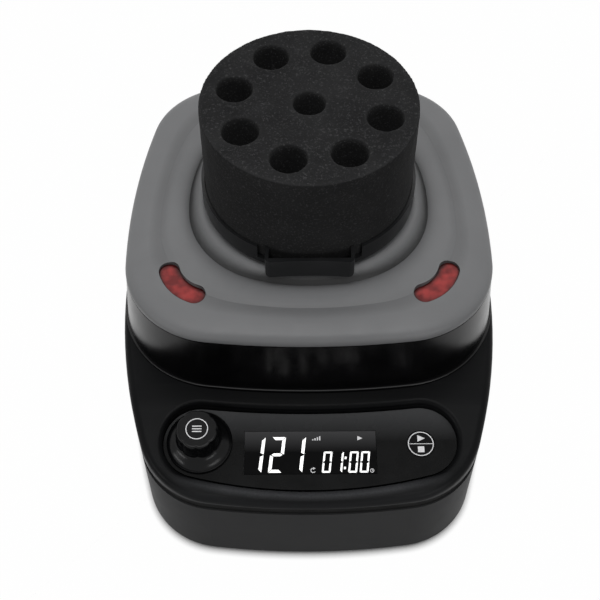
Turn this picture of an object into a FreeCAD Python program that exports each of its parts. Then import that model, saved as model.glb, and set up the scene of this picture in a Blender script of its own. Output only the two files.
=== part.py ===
import FreeCAD, Part
import math
import os
import re
import Sketcher

# Benchtop vortex mixer. Millimetres and degrees. X to the right, Y to the rear, Z up.
# The origin is on the bench under the middle of the footprint.

SIZES = {
    # plan of the lower body
    "body_width": 186.0,
    "body_depth": 230.0,
    "side_bow": 302.0,
    "side_shift": 3.0,
    "front_bow": 370.0,
    "rear_bow": 330.0,
    "front_corner": 39.0,
    "rear_corner": 40.0,
    # plan of the drum and its cover, round the motor's axis, behind the sloping deck
    "deck_length": 53.2,
    "rear_ledge": 1.1,
    "axis_offset": 0.7,
    "drum_width": 175.4,
    "drum_side_bow": 344.0,
    "drum_side_shift": 26.0,
    "drum_bow": 330.0,
    "drum_front_bow": 400.0,
    "drum_rear_corner": 39.3,
    "drum_front_corner": 45.2,
    # heights, from the bench up
    "foot_height": 2.5,
    "base_height": 43.2,
    "seal_height": 6.0,
    "housing_height": 15.8,
    "drum_height": 33.5,
    "cover_edge": 1.5,
    # base pan
    "base_wall": 4.0,
    "base_floor": 4.0,
    "base_edge": 2.0,
    "seal_inset": 0.8,
    "seal_width": 4.0,
    "foot_radius": 8.0,
    "foot_sink": 1.5,
    "foot_side_inset": 39.0,
    "foot_end_inset": 23.0,
    "post_radius": 5.0,
    "front_post_side": 19.0,
    "front_post_end": 70.0,
    "rear_post_side": 27.0,
    "rear_post_end": 31.0,
    "screw_radius": 1.5,
    "screw_head_radius": 3.2,
    "screw_head_height": 2.5,
    "screw_bite": 8.0,
    # sloping deck and its rounded lip
    "housing_wall": 3.0,
    "deck_tilt": 13.0,
    "ridge_margin": 0.5,
    "ridge_round": 60.0,
    "ridge_step": 1.5,
    "lip_round": 4.0,
    "lip_share": 0.95,
    "drum_ledge": 12.0,
    # drum wall, which flares to its foot, the bead there and the groove under the cover
    "drum_wall": 3.0,
    "drum_flare": 3.0,
    "seam_height": 0.6,
    "seam_depth": 0.8,
    "bead_height": 1.4,
    "bead_reach": 0.8,
    "bead_round": 0.5,
    # rippled cover: distance in from the edge and rise above it, ring by ring
    "rim_roll_set": 0.5,
    "rim_roll_rise": 1.9,
    "rim_crown_set": 2.4,
    "rim_crown_rise": 3.7,
    "outer_crease_set": 5.5,
    "outer_crease_rise": 4.9,
    "outer_wave_set": 9.5,
    "outer_wave_rise": 6.0,
    "middle_crease_set": 16.5,
    "middle_crease_rise": 6.7,
    "middle_wave_set": 21.0,
    "middle_wave_rise": 7.9,
    "inner_crease_set": 29.5,
    "inner_crease_rise": 7.3,
    "hub_roll_set": 32.8,
    "hub_roll_rise": 10.4,
    "hub_set": 37.0,
    "hub_width": 101.4,
    "hub_front": 50.0,
    "hub_rear": 49.5,
    "hub_rise": 11.1,
    "hub_bow": 80.0,
    "hub_corner": 45.0,
    "cover_wall": 3.2,
    "neck_clearance": 3.0,
    # kidney slots and their lenses, in the front corners
    "slot_side": 26.9,
    "slot_end": 29.4,
    "slot_angle": 47.4,
    "slot_bend": 20.5,
    "slot_width": 10.0,
    "slot_half_length": 9.3,
    "lens_gap": 0.25,
    "lens_depth": 1.4,
    "lens_flange": 2.5,
    "lens_flange_height": 2.5,
    "lens_seat_drop": 6.7,
    "lamp_board_length": 34.0,
    "lamp_board_width": 17.0,
    "board_thickness": 1.6,
    # control panel: a bean on its own shallow slope
    "panel_setback": 31.2,
    "panel_drop": 8.85,
    "panel_tilt": 7.0,
    "panel_thickness": 2.0,
    "panel_gap": 0.2,
    "panel_groove": 0.4,
    "key_pitch": 104.0,
    "bean_end": 17.4,
    "bean_rear_bow": 466.0,
    "bean_front_bow": 225.0,
    "tub_wall": 2.5,
    "recess_round": 2.5,
    "seat_ledge": 2.5,
    "display_width": 61.7,
    "display_height": 21.1,
    "display_shift": 5.2,
    "display_frame": 2.5,
    "board_drop": 10.5,
    "board_length": 120.0,
    "board_width": 27.0,
    "board_shift": 3.0,
    "board_post_radius": 2.5,
    "board_post_x": 37.0,
    "board_post_rear": 8.0,
    "board_post_front": 14.0,
    # knob and encoder
    "knob_height": 17.0,
    "knob_lift": 0.8,
    "knob_travel": 0.5,
    "skirt_radius": 13.9,
    "skirt_edge": 1.0,
    "skirt_round": 7.0,
    "skirt_top": 7.2,
    "barrel_radius": 9.4,
    "barrel_draft": 0.4,
    "knob_chamfer": 0.7,
    "lobe_count": 10.0,
    "lobe_radius": 3.0,
    "lobe_depth": 0.75,
    "encoder_size": 13.0,
    "encoder_height": 6.5,
    "bush_radius": 4.4,
    "bush_height": 3.9,
    "stem_radius": 3.0,
    "stem_gap": 0.3,
    "stem_bite": 10.0,
    "press_plate_radius": 3.8,
    "press_plate_height": 1.0,
    # start and stop key
    "key_radius": 6.6,
    "key_shift": 1.2,
    "key_gap": 0.2,
    "key_travel": 0.4,
    "key_flange": 1.0,
    "key_flange_height": 1.0,
    "key_stem_radius": 1.6,
    "key_stem_length": 3.0,
    "tact_size": 6.2,
    "tact_height": 3.0,
    # orbiting head
    "orbit_radius": 2.25,
    "dish_gap": 3.3,
    "dish_radius": 51.3,
    "dish_wall": 1.5,
    "dish_height": 9.6,
    "dish_floor": 2.6,
    "dish_notch": 47.9,
    "clip_width": 40.7,
    "clip_reach": 55.5,
    "clip_height": 10.9,
    "clip_wall": 1.7,
    "clip_root": 40.0,
    "clip_round": 3.0,
    "clip_scoop": 190.0,
    "clip_scoop_depth": 0.95,
    "foam_radius": 49.5,
    "foam_height": 53.0,
    "hole_radius": 8.4,
    "hole_pitch_radius": 34.9,
    "hole_depth": 44.0,
    "hole_phase": 29.6,
    "centre_hole_radius": 7.5,
    # platform under the dish
    "neck_radius": 20.0,
    "neck_height": 33.0,
    "flange_radius": 44.0,
    "flange_height": 4.0,
    "bearing_radius": 11.0,
    "bearing_height": 7.0,
    "bearing_step": 10.0,
    "bearing_rise": 4.0,
    "fit_gap": 0.03,
    "run_gap": 0.06,
    "dish_screw_radius": 2.0,
    "dish_screw_head": 4.0,
    "dish_screw_length": 9.0,
    # eccentric drive and motor
    "pin_radius": 4.0,
    "shaft_radius": 4.0,
    "hub_radius": 17.0,
    "hub_height": 12.0,
    "hub_lift": 3.0,
    "hub_grip": 5.5,
    "weight_radius": 27.0,
    "weight_height": 8.0,
    "rubber_post_radius": 5.0,
    "rubber_post_height": 19.0,
    "rubber_post_pitch": 51.0,
    "plate_thickness": 3.0,
    "plate_margin": 12.0,
    "motor_radius": 28.0,
    "motor_height": 46.0,
    "motor_wall": 4.0,
    "motor_end": 6.0,
    "motor_bearing_radius": 8.0,
    "motor_bearing_height": 5.0,
    "core_radius": 20.0,
    "core_gap": 3.0,
    "motor_screw_pitch": 29.6,
    "motor_screw_length": 7.5,
    # press-to-run carriage
    "press_travel": 1.5,
    "guide_pitch": 90.0,
    "guide_radius": 3.5,
    "guide_gap": 0.3,
    "guide_head_radius": 6.0,
    "guide_head_height": 4.0,
    "guide_bite": 8.0,
    "guide_boss_radius": 8.0,
    "guide_boss_height": 29.5,
    "spring_radius": 6.5,
    "spring_wire": 1.6,
    "touch_x": 52.0,
    "touch_length": 20.0,
    "touch_width": 8.0,
    "touch_height": 10.0,
    "touch_plunger_radius": 1.5,
    "touch_plunger_rise": 2.5,
    "touch_plunger_depth": 4.0,
    # drive board on the base floor
    "drive_board_length": 90.0,
    "drive_board_width": 40.0,
    "drive_board_setback": 53.0,
    "drive_post_height": 6.0,
    "drive_post_radius": 3.0,
    "drive_post_inset": 5.0,
    # connector bay in the rear wall
    "bay_width": 84.0,
    "bay_height": 24.0,
    "bay_rise": 12.0,
    "bay_depth": 5.0,
    "bay_backing": 6.0,
    "inlet_x": 22.0,
    "jack_size": 12.0,
    "jack_length": 14.0,
    "jack_flange": 2.0,
    "jack_flange_height": 1.5,
    "jack_bore": 3.2,
    "jack_bore_depth": 10.0,
    "jack_pin": 1.0,
    "switch_length": 18.0,
    "switch_width": 13.5,
    "switch_depth": 14.0,
    "switch_bezel": 2.0,
    "switch_bezel_height": 1.5,
    "rocker_radius": 6.2,
    "rocker_gap": 0.3,
    "rocker_length": 14.0,
    "rocker_sink": 1.0,
    "rocker_valley": 2.6,
    "rocker_face": 14.0,
    "rocker_rest": 10.0,
}

doc = FreeCAD.newDocument("vortex_mixer")
sheet = doc.addObject("Spreadsheet::Sheet", "Sizes")
for row, (size_name, size_value) in enumerate(SIZES.items(), start=1):
    sheet.set(f"A{row}", size_name)
    sheet.set(f"B{row}", str(size_value))
    sheet.setAlias(f"B{row}", size_name)
doc.recompute()

# Levels and places that several pieces share, as formulas on the sheet
BASE_FLOOR_Z = "(foot_height + base_floor)"
BASE_TOP_Z = "(foot_height + base_height)"
HOUSING_Z = "(foot_height + base_height + seal_height)"
RIDGE_Z = f"({HOUSING_Z} + housing_height)"
DRUM_TOP_Z = f"({RIDGE_Z} + drum_height)"
EDGE_Z = f"({DRUM_TOP_Z} + cover_edge)"
HUB_TOP_Z = f"({EDGE_Z} + hub_rise)"
DISH_Z = f"({HUB_TOP_Z} + dish_gap)"
FOAM_Z = f"({DISH_Z} + dish_floor)"
FLANGE_Z = f"({DISH_Z} - neck_height)"
PLATE_TOP_Z = f"({FLANGE_Z} - rubber_post_height)"
PLATE_Z = f"({PLATE_TOP_Z} - plate_thickness)"
MOTOR_Z = f"({PLATE_Z} - motor_height)"
ROTOR_HUB_Z = f"({PLATE_TOP_Z} + hub_lift)"
GUIDE_BOSS_Z = f"({BASE_FLOOR_Z} + guide_boss_height)"
DRUM_DEPTH = "(body_depth - deck_length - rear_ledge - ridge_margin - 2 * drum_flare)"
DRUM_FRONT = f"({DRUM_DEPTH} / 2 + axis_offset)"
DRUM_REAR = f"({DRUM_DEPTH} / 2 - axis_offset)"
AXIS_Y = f"(body_depth / 2 - rear_ledge - drum_flare - {DRUM_REAR})"
HEAD_Y = f"({AXIS_Y} - orbit_radius)"
HINGE_Y = "(deck_length - body_depth / 2)"
PANEL_Y = "(panel_setback - body_depth / 2)"
PANEL_Z = f"({RIDGE_Z} - panel_drop)"
BAY_Y = "(body_depth / 2 - bay_depth)"
BAY_MID_Z = "(foot_height + bay_rise + bay_height / 2)"
SLOT_X = "(drum_width / 2 - slot_side)"
SLOT_Y = f"({AXIS_Y} - {DRUM_FRONT} + slot_end)"
LENS_SEAT_Z = f"({EDGE_Z} + middle_crease_rise - lens_seat_drop)"

CORNERS = [(-1, -1), (1, -1), (1, 1), (-1, 1)]
X_AXIS = FreeCAD.Vector(1, 0, 0)
Y_AXIS = FreeCAD.Vector(0, 1, 0)
Z_AXIS = FreeCAD.Vector(0, 0, 1)
ROOMY = "body_depth"


# Helpers: formulas, places, primitives and booleans


def linked(formula):
    """The formula with each size's name pointing at its cell."""
    return re.sub(r"[a-z]+(?:_[a-z]+)+", r"Sizes.\g<0>", formula)


def bind(thing, prop, formula):
    thing.setExpression(prop, linked(formula))


def value(formula):
    return float(sheet.evalExpression(linked(formula)))


def place(thing, x="0", y="0", z="0"):
    for axis, formula in (("x", x), ("y", y), ("z", z)):
        bind(thing, f"Placement.Base.{axis}", formula)
    return thing


def turn(thing, axis, angle):
    thing.Placement = FreeCAD.Placement(FreeCAD.Vector(), FreeCAD.Rotation(axis, 1.0))
    bind(thing, "Placement.Rotation.Angle", angle)
    return thing


def on_panel(thing, across="0", along="0", above="0"):
    """Put a piece on the control panel's slope: across and along it, and above its face."""
    turn(thing, X_AXIS, "panel_tilt")
    return place(
        thing,
        across,
        f"{PANEL_Y} + ({along}) * cos(panel_tilt) - ({above}) * sin(panel_tilt)",
        f"{PANEL_Z} + ({along}) * sin(panel_tilt) + ({above}) * cos(panel_tilt)",
    )


def cylinder(name, radius, height, x="0", y="0", z="0"):
    thing = doc.addObject("Part::Cylinder", name)
    bind(thing, "Radius", radius)
    bind(thing, "Height", height)
    return place(thing, x, y, z)


def inward(name, radius, length, x, y, z):
    """A cylinder that runs from a rear face towards the front."""
    thing = doc.addObject("Part::Cylinder", name)
    bind(thing, "Radius", radius)
    bind(thing, "Height", length)
    thing.Placement = FreeCAD.Placement(FreeCAD.Vector(), FreeCAD.Rotation(X_AXIS, 90))
    return place(thing, x, y, z)


def box(name, length, width, height, x="0", y="0", z="0"):
    """A box centred on x and y, standing on z."""
    thing = doc.addObject("Part::Box", name)
    bind(thing, "Length", length)
    bind(thing, "Width", width)
    bind(thing, "Height", height)
    return place(thing, f"{x} - ({length}) / 2", f"{y} - ({width}) / 2", z)


def fuse(name, shapes):
    thing = doc.addObject("Part::MultiFuse", name)
    thing.Shapes = list(shapes)
    return thing


def cut(name, base, tools):
    thing = doc.addObject("Part::Cut", name)
    thing.Base = base
    thing.Tool = tools[0] if len(tools) == 1 else fuse(f"{name}_tools", tools)
    return thing


def common(name, base, tool):
    thing = doc.addObject("Part::Common", name)
    thing.Base = base
    thing.Tool = tool
    return thing


def group(name, shapes):
    thing = doc.addObject("Part::Compound", name)
    thing.Links = list(shapes)
    return thing


def ring(name, outer, inner, height, x="0", y="0", z="0"):
    """A plain ring such as a bearing."""
    body = cylinder(f"{name}_outside", outer, height, x, y, z)
    bore = cylinder(f"{name}_bore", inner, height, x, y, z)
    return cut(name, body, [bore])


# Helpers: bodies, sketches and features


def new_body(name):
    return doc.addObject("PartDesign::Body", name)


def sketch_in(body, name, height="0", plane="XY_Plane"):
    sketch = body.newObject("Sketcher::SketchObject", name)
    support = next(f for f in body.Origin.OriginFeatures if f.Role == plane)
    sketch.AttachmentSupport = [(support, "")]
    sketch.MapMode = "FlatFace"
    bind(sketch, "AttachmentOffset.Base.z", height)
    return sketch


def hold(sketch, formula, kind, *where):
    """Add a dimension to a sketch and bind it to a formula."""
    index = sketch.addConstraint(Sketcher.Constraint(kind, *where, value(formula)))
    sketch.setExpression(f"Constraints[{index}]", linked(formula))


def arc(centre, radius, start, end):
    circle = Part.Circle(FreeCAD.Vector(*centre, 0), Z_AXIS, radius)
    return Part.ArcOfCircle(circle, start, end)


def heading(origin, target):
    return math.atan2(target[1] - origin[1], target[0] - origin[0])


def meeting(first, first_reach, second, second_reach, towards):
    """Where two circles cross, on the side of a given point."""
    span = math.dist(first, second)
    along = (first_reach**2 - second_reach**2 + span**2) / (2 * span)
    aside = math.sqrt(first_reach**2 - along**2)
    ux, uy = (second[0] - first[0]) / span, (second[1] - first[1]) / span
    foot = (first[0] + along * ux, first[1] + along * uy)
    choices = [(foot[0] - s * aside * uy, foot[1] + s * aside * ux) for s in (1, -1)]
    return min(choices, key=lambda p: math.dist(p, towards))


def outline(sketch, half, rear, front, bows, corners, shift):
    """A bowed rounded rectangle of eight tangent arcs.

    half, rear and front are the reaches from the sketch's origin. bows are the radii of the sides, the rear and
    the front, and corners those of the rear and front corners. The sides are widest at the shift along Y. All
    are formulas.
    """
    side_bow, rear_bow, front_bow = bows
    rear_corner, front_corner = corners
    reach = {"right": half, "rear": rear, "left": half, "front": front}
    bow = {"right": side_bow, "rear": rear_bow, "left": side_bow, "front": front_bow}
    aim = {"right": (1, 0), "rear": (0, 1), "left": (-1, 0), "front": (0, -1)}
    centre = {}
    for side, (ax, ay) in aim.items():
        back = value(f"({reach[side]}) - ({bow[side]})")
        centre[side] = (ax * back, ay * back + abs(ax) * value(shift))
    sides = ["right", "rear", "left", "front"]
    round_of = [rear_corner, rear_corner, front_corner, front_corner]
    turns = []
    for k, side in enumerate(sides):
        after = sides[(k + 1) % 4]
        radius = value(round_of[k])
        corner = (
            (aim[side][0] + aim[after][0]) * value(half),
            (aim[side][1] + aim[after][1]) * value(half),
        )
        middle = meeting(
            centre[side],
            value(bow[side]) - radius,
            centre[after],
            value(bow[after]) - radius,
            corner,
        )
        turns.append(
            (middle, radius, heading(centre[side], middle), heading(centre[after], middle))
        )
    pieces = []
    for k, side in enumerate(sides):
        start = turns[k - 1][3]
        end = turns[k][2]
        if end < start:
            end += 2 * math.pi
        pieces.append(arc(centre[side], value(bow[side]), start, end))
        middle, radius, start, end = turns[k]
        if end < start:
            end += 2 * math.pi
        pieces.append(arc(middle, radius, start, end))
    first = sketch.GeometryCount
    sketch.addGeometry(pieces, False)
    for k in range(8):
        after = first + (k + 1) % 8
        sketch.addConstraint(Sketcher.Constraint("Tangent", first + k, 2, after, 1))
    for k, side in enumerate(sides):
        geo = first + 2 * k
        hold(sketch, bow[side], "Radius", geo)
        hold(sketch, round_of[k], "Radius", geo + 1)
        ax, ay = aim[side]
        back = f"{ax + ay} * (({reach[side]}) - ({bow[side]}))"
        hold(sketch, back if ax else "0", "DistanceX", -1, 1, geo, 3)
        hold(sketch, shift if ax else back, "DistanceY", -1, 1, geo, 3)


def lower_outline(sketch, inset="0"):
    """The plan of the lower body, drawn in by an inset."""
    outline(
        sketch,
        f"body_width / 2 - ({inset})",
        f"body_depth / 2 - ({inset})",
        f"body_depth / 2 - ({inset})",
        (f"side_bow - ({inset})", f"rear_bow - ({inset})", f"front_bow - ({inset})"),
        (f"rear_corner - ({inset})", f"front_corner - ({inset})"),
        "side_shift",
    )


def drum_outline(sketch, inset="0"):
    """The plan of the drum at its top, drawn in by an inset."""
    outline(
        sketch,
        f"drum_width / 2 - ({inset})",
        f"{DRUM_REAR} - ({inset})",
        f"{DRUM_FRONT} - ({inset})",
        (f"drum_side_bow - ({inset})", f"drum_bow - ({inset})", f"drum_front_bow - ({inset})"),
        (f"drum_rear_corner - ({inset})", f"drum_front_corner - ({inset})"),
        "-drum_side_shift",
    )


def ripple_outline(sketch, inset):
    """A ring of the cover: the drum's plan at the edge, rounder towards the hub."""
    share = f"(1 - ({inset}) / hub_set)"

    def towards_hub(size, hub_size, weight):
        return f"{hub_size} + ({size} - {hub_size}) * {weight}"

    bow = towards_hub("drum_bow", "hub_bow", f"{share} * {share}")
    front_bow = towards_hub("drum_front_bow", "hub_bow", f"{share} * {share}")
    side_bow = towards_hub("drum_side_bow", "hub_bow", f"{share} * {share}")
    rear_corner = towards_hub("drum_rear_corner", "hub_corner", share)
    front_corner = towards_hub("drum_front_corner", "hub_corner", share)
    outline(
        sketch,
        towards_hub("drum_width / 2", "hub_width / 2", share),
        towards_hub(DRUM_REAR, "hub_rear", share),
        towards_hub(DRUM_FRONT, "hub_front", share),
        (side_bow, bow, front_bow),
        (rear_corner, front_corner),
        f"-drum_side_shift * {share}",
    )


def bean_outline(sketch, offset="0"):
    """The control panel's plan: two round ends, a hollow rear edge and a bowed front edge."""
    end = f"(bean_end + ({offset}))"
    rear = f"(bean_rear_bow - ({offset}))"
    front = f"(bean_front_bow + ({offset}))"
    half = value("key_pitch / 2")
    left, right = (-half, 0.0), (half, 0.0)
    rear_centre = (0.0, math.sqrt((value(rear) + value(end)) ** 2 - half**2))
    front_centre = (0.0, math.sqrt((value(front) - value(end)) ** 2 - half**2))
    rear_left, rear_right = heading(rear_centre, left), heading(rear_centre, right)
    front_left, front_right = heading(front_centre, left), heading(front_centre, right)
    full = 2 * math.pi
    sketch.addGeometry(
        [
            arc(right, value(end), front_right, rear_right + math.pi),
            arc(rear_centre, value(rear), rear_left, rear_right),
            arc(left, value(end), rear_left + math.pi, front_left + full),
            arc(front_centre, value(front), front_left, front_right),
        ],
        False,
    )
    for one, one_end, other, other_end in ((0, 2, 1, 2), (1, 1, 2, 1), (2, 2, 3, 1), (3, 2, 0, 1)):
        sketch.addConstraint(Sketcher.Constraint("Tangent", one, one_end, other, other_end))
    hold(sketch, end, "Radius", 0)
    hold(sketch, end, "Radius", 2)
    hold(sketch, rear, "Radius", 1)
    hold(sketch, front, "Radius", 3)
    for geo, side in ((0, 1), (2, -1)):
        sketch.addConstraint(Sketcher.Constraint("PointOnObject", geo, 3, -1))
        hold(sketch, f"{side} * key_pitch / 2", "DistanceX", -1, 1, geo, 3)


def kidney_outline(sketch, width):
    """A bent slot round the origin, symmetric about X, that follows the cover's corner."""
    outer = f"slot_bend + ({width}) / 2"
    inner = f"slot_bend - ({width}) / 2"
    bend = value("slot_bend")
    middle = -bend
    half_turn = math.asin(value("slot_half_length") / bend)
    cap = value(width) / 2
    centre = (middle, 0.0)
    upper = (middle + bend * math.cos(half_turn), bend * math.sin(half_turn))
    lower = (upper[0], -upper[1])
    sketch.addGeometry(
        [
            arc(centre, value(outer), -half_turn, half_turn),
            arc(upper, cap, half_turn, half_turn + math.pi),
            arc(centre, value(inner), -half_turn, half_turn),
            arc(lower, cap, math.pi - half_turn, 2 * math.pi - half_turn),
        ],
        False,
    )
    for one, one_end, other, other_end in ((0, 2, 1, 1), (1, 2, 2, 2), (2, 1, 3, 1), (3, 2, 0, 1)):
        sketch.addConstraint(Sketcher.Constraint("Tangent", one, one_end, other, other_end))
    sketch.addConstraint(Sketcher.Constraint("Coincident", 0, 3, 2, 3))
    sketch.addConstraint(Sketcher.Constraint("PointOnObject", 0, 3, -1))
    hold(sketch, "-slot_bend", "DistanceX", -1, 1, 0, 3)
    hold(sketch, outer, "Radius", 0)
    hold(sketch, inner, "Radius", 2)
    hold(sketch, "slot_half_length", "DistanceY", -1, 1, 1, 3)
    hold(sketch, "slot_half_length", "DistanceY", 3, 3, -1, 1)


def disc_outline(sketch, radius, x="0"):
    circle = Part.Circle(FreeCAD.Vector(value(x), 0, 0), Z_AXIS, value(radius))
    geo = sketch.addGeometry(circle, False)
    hold(sketch, radius, "Radius", geo)
    sketch.addConstraint(Sketcher.Constraint("PointOnObject", geo, 3, -1))
    hold(sketch, x, "DistanceX", -1, 1, geo, 3)


def profile(sketch, corners):
    """A closed outline of corners given as formulas. A corner with a third entry is reached by an arc of that
    radius, which bulges to the right of its chord."""
    points = [(value(c[0]), value(c[1])) for c in corners]
    ends = []
    for k, corner in enumerate(corners):
        a, b = points[k - 1], points[k]
        if len(corner) == 2:
            shape = Part.LineSegment(FreeCAD.Vector(*a, 0), FreeCAD.Vector(*b, 0))
            geo = sketch.addGeometry(shape, False)
        else:
            radius = value(corner[2])
            mid = ((a[0] + b[0]) / 2, (a[1] + b[1]) / 2)
            span = math.dist(a, b)
            rise = math.sqrt(radius**2 - span**2 / 4) / span
            centre = (mid[0] - rise * (b[1] - a[1]), mid[1] + rise * (b[0] - a[0]))
            start, end = heading(centre, a), heading(centre, b)
            geo = sketch.addGeometry(arc(centre, radius, start, end), False)
            hold(sketch, corner[2], "Radius", geo)
        ends.append(geo)
        hold(sketch, corner[0], "DistanceX", -1, 1, geo, 2)
        hold(sketch, corner[1], "DistanceY", -1, 1, geo, 2)
    for k, geo in enumerate(ends):
        sketch.addConstraint(Sketcher.Constraint("Coincident", ends[k - 1], 2, geo, 1))


def pad(body, sketch, length, name, downwards=False):
    feature = body.newObject("PartDesign::Pad", name)
    feature.Profile = sketch
    feature.Reversed = downwards
    bind(feature, "Length", length)
    return feature


def pocket(body, sketch, depth, name, upwards=False):
    feature = body.newObject("PartDesign::Pocket", name)
    feature.Profile = sketch
    feature.Reversed = upwards
    bind(feature, "Length", depth)
    return feature


def revolve(body, sketch, name):
    feature = body.newObject("PartDesign::Revolution", name)
    feature.Profile = sketch
    feature.ReferenceAxis = (sketch, ["V_Axis"])
    feature.Angle = 360
    return feature


def loft(body, sketches, name, hollow=False):
    kind = "PartDesign::SubtractiveLoft" if hollow else "PartDesign::AdditiveLoft"
    feature = body.newObject(kind, name)
    feature.Profile = sketches[0]
    feature.Sections = sketches[1:]
    return feature


def polar(body, feature, sketch, count, name):
    pattern = body.newObject("PartDesign::PolarPattern", name)
    pattern.Originals = [feature]
    pattern.Axis = (sketch, ["N_Axis"])
    pattern.Angle = 360
    bind(pattern, "Occurrences", count)
    body.Tip = pattern
    return pattern


def fillet(body, base, level, radius, name):
    """Round the edges of a feature that lie flat at one height."""
    doc.recompute()
    height = value(level)
    edges = [
        f"Edge{k}"
        for k, edge in enumerate(base.Shape.Edges, start=1)
        if all(abs(v.Z - height) < 1e-4 for v in edge.Vertexes)
        and abs(edge.CenterOfMass.z - height) < 1e-4
    ]
    feature = body.newObject("PartDesign::Fillet", name)
    feature.Base = (base, edges)
    bind(feature, "Radius", radius)
    return feature


# Base pan, its seal, feet and screws

FRONT_POST_Y = "(front_post_end - body_depth / 2)"
REAR_POST_Y = "(body_depth / 2 - rear_post_end)"
FRONT_POSTS = [(f"{s} * (body_width / 2 - front_post_side)", FRONT_POST_Y) for s in (-1, 1)]
REAR_POSTS = [(f"{s} * (body_width / 2 - rear_post_side)", REAR_POST_Y) for s in (-1, 1)]
CASE_POSTS = FRONT_POSTS + REAR_POSTS
GUIDES = [
    (f"{sx} * guide_pitch / 2", f"{AXIS_Y} + {sy} * guide_pitch / 2") for sx, sy in CORNERS
]
FEET = [
    (f"{sx} * (body_width / 2 - foot_side_inset)", f"{sy} * (body_depth / 2 - foot_end_inset)")
    for sx, sy in CORNERS
]
TOUCH_TOP_Z = f"({PLATE_Z} - touch_plunger_rise)"
TOUCH_Z = f"({TOUCH_TOP_Z} - touch_height)"
DRIVE_BOARD_Y = "(drive_board_setback - body_depth / 2)"
DRIVE_POSTS = [
    (
        f"{sx} * (drive_board_length / 2 - drive_post_inset)",
        f"{DRIVE_BOARD_Y} + {sy} * (drive_board_width / 2 - drive_post_inset)",
    )
    for sx, sy in CORNERS
]


def make_base_casting():
    pan = new_body("base_pan")
    plan = sketch_in(pan, "base_plan", "foot_height")
    lower_outline(plan)
    block = pad(pan, plan, "base_height", "base_block")
    fillet(pan, block, "foot_height", "base_edge", "base_lower_edge")
    hollow = sketch_in(pan, "base_hollow_plan", BASE_FLOOR_Z)
    lower_outline(hollow, "base_wall")
    pocket(pan, hollow, "base_height", "base_hollow", upwards=True)
    solids = [pan]
    tools = []
    for k, (x, y) in enumerate(GUIDES):
        solids.append(
            cylinder(
                f"guide_boss_{k}", "guide_boss_radius", "guide_boss_height", x, y, BASE_FLOOR_Z
            )
        )
        depth = "guide_bite + fit_gap"
        tools.append(
            cylinder(
                f"guide_hole_{k}", "guide_radius + fit_gap", depth, x, y, f"{GUIDE_BOSS_Z} - guide_bite"
            )
        )
    for k, (x, y) in enumerate(CASE_POSTS):
        solids.append(
            cylinder(
                f"case_post_{k}",
                "post_radius",
                f"{HOUSING_Z} - {BASE_FLOOR_Z}",
                x,
                y,
                BASE_FLOOR_Z,
            )
        )
        tools.append(cylinder(f"case_hole_{k}", "screw_radius + stem_gap", ROOMY, x, y))
        sink = "foot_height + screw_head_height + stem_gap"
        tools.append(cylinder(f"case_sink_{k}", "screw_head_radius + stem_gap", sink, x, y))
    for k, (x, y) in enumerate(FEET):
        tools.append(
            cylinder(f"foot_seat_{k}", "foot_radius + fit_gap", "foot_height + foot_sink", x, y)
        )
    for k, (x, y) in enumerate(DRIVE_POSTS):
        solids.append(
            cylinder(f"drive_post_{k}", "drive_post_radius", "drive_post_height", x, y, BASE_FLOOR_Z)
        )
    solids.append(
        box(
            "touch_pedestal",
            "touch_length",
            "touch_width",
            f"{TOUCH_Z} - {BASE_FLOOR_Z}",
            "touch_x",
            AXIS_Y,
            BASE_FLOOR_Z,
        )
    )
    margin = "2 * base_wall"
    solids.append(
        box(
            "bay_backing_block",
            f"bay_width + {margin}",
            "bay_backing + base_wall / 2",
            f"bay_height + {margin}",
            "0",
            f"{BAY_Y} - bay_backing / 2 + base_wall / 4",
            "foot_height + bay_rise - base_wall",
        )
    )
    bay_z = "foot_height + bay_rise"
    tools.append(
        box("bay_recess", "bay_width", ROOMY, "bay_height", "0", f"{BAY_Y} + {ROOMY} / 2", bay_z)
    )
    gap = "2 * panel_gap"
    tools.append(
        box(
            "jack_window",
            f"jack_size + {gap}",
            "jack_length",
            f"jack_size + {gap}",
            "-inlet_x",
            BAY_Y,
            f"{BAY_MID_Z} - jack_size / 2 - panel_gap",
        )
    )
    tools.append(
        box(
            "switch_window",
            f"switch_length + {gap}",
            "switch_depth",
            f"switch_width + {gap}",
            "inlet_x",
            BAY_Y,
            f"{BAY_MID_Z} - switch_width / 2 - panel_gap",
        )
    )
    return cut("base_casting", fuse("base_solids", solids), tools)


def make_base_seal():
    body = new_body("base_seal")
    plan = sketch_in(body, "seal_plan", BASE_TOP_Z)
    lower_outline(plan, "seal_inset")
    lower_outline(plan, "seal_inset + seal_width")
    pad(body, plan, "seal_height", "seal_ring")
    return body


def make_rubber_feet():
    feet = [
        cylinder(f"foot_{k}", "foot_radius", "foot_height + foot_sink", x, y)
        for k, (x, y) in enumerate(FEET)
    ]
    return group("rubber_feet", feet)


def make_case_screws():
    screws = []
    for k, (x, y) in enumerate(CASE_POSTS):
        head_z = "foot_height + stem_gap"
        length = f"{HOUSING_Z} - foot_height - stem_gap + screw_bite"
        head = cylinder(f"case_head_{k}", "screw_head_radius", "screw_head_height", x, y, head_z)
        shank = cylinder(f"case_shank_{k}", "screw_radius", length, x, y, head_z)
        screws.append(fuse(f"case_screw_{k}", [head, shank]))
    return group("case_screws", screws)


# Lower housing: sloping deck, rounded lip, panel pocket and the ledge under the drum

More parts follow.
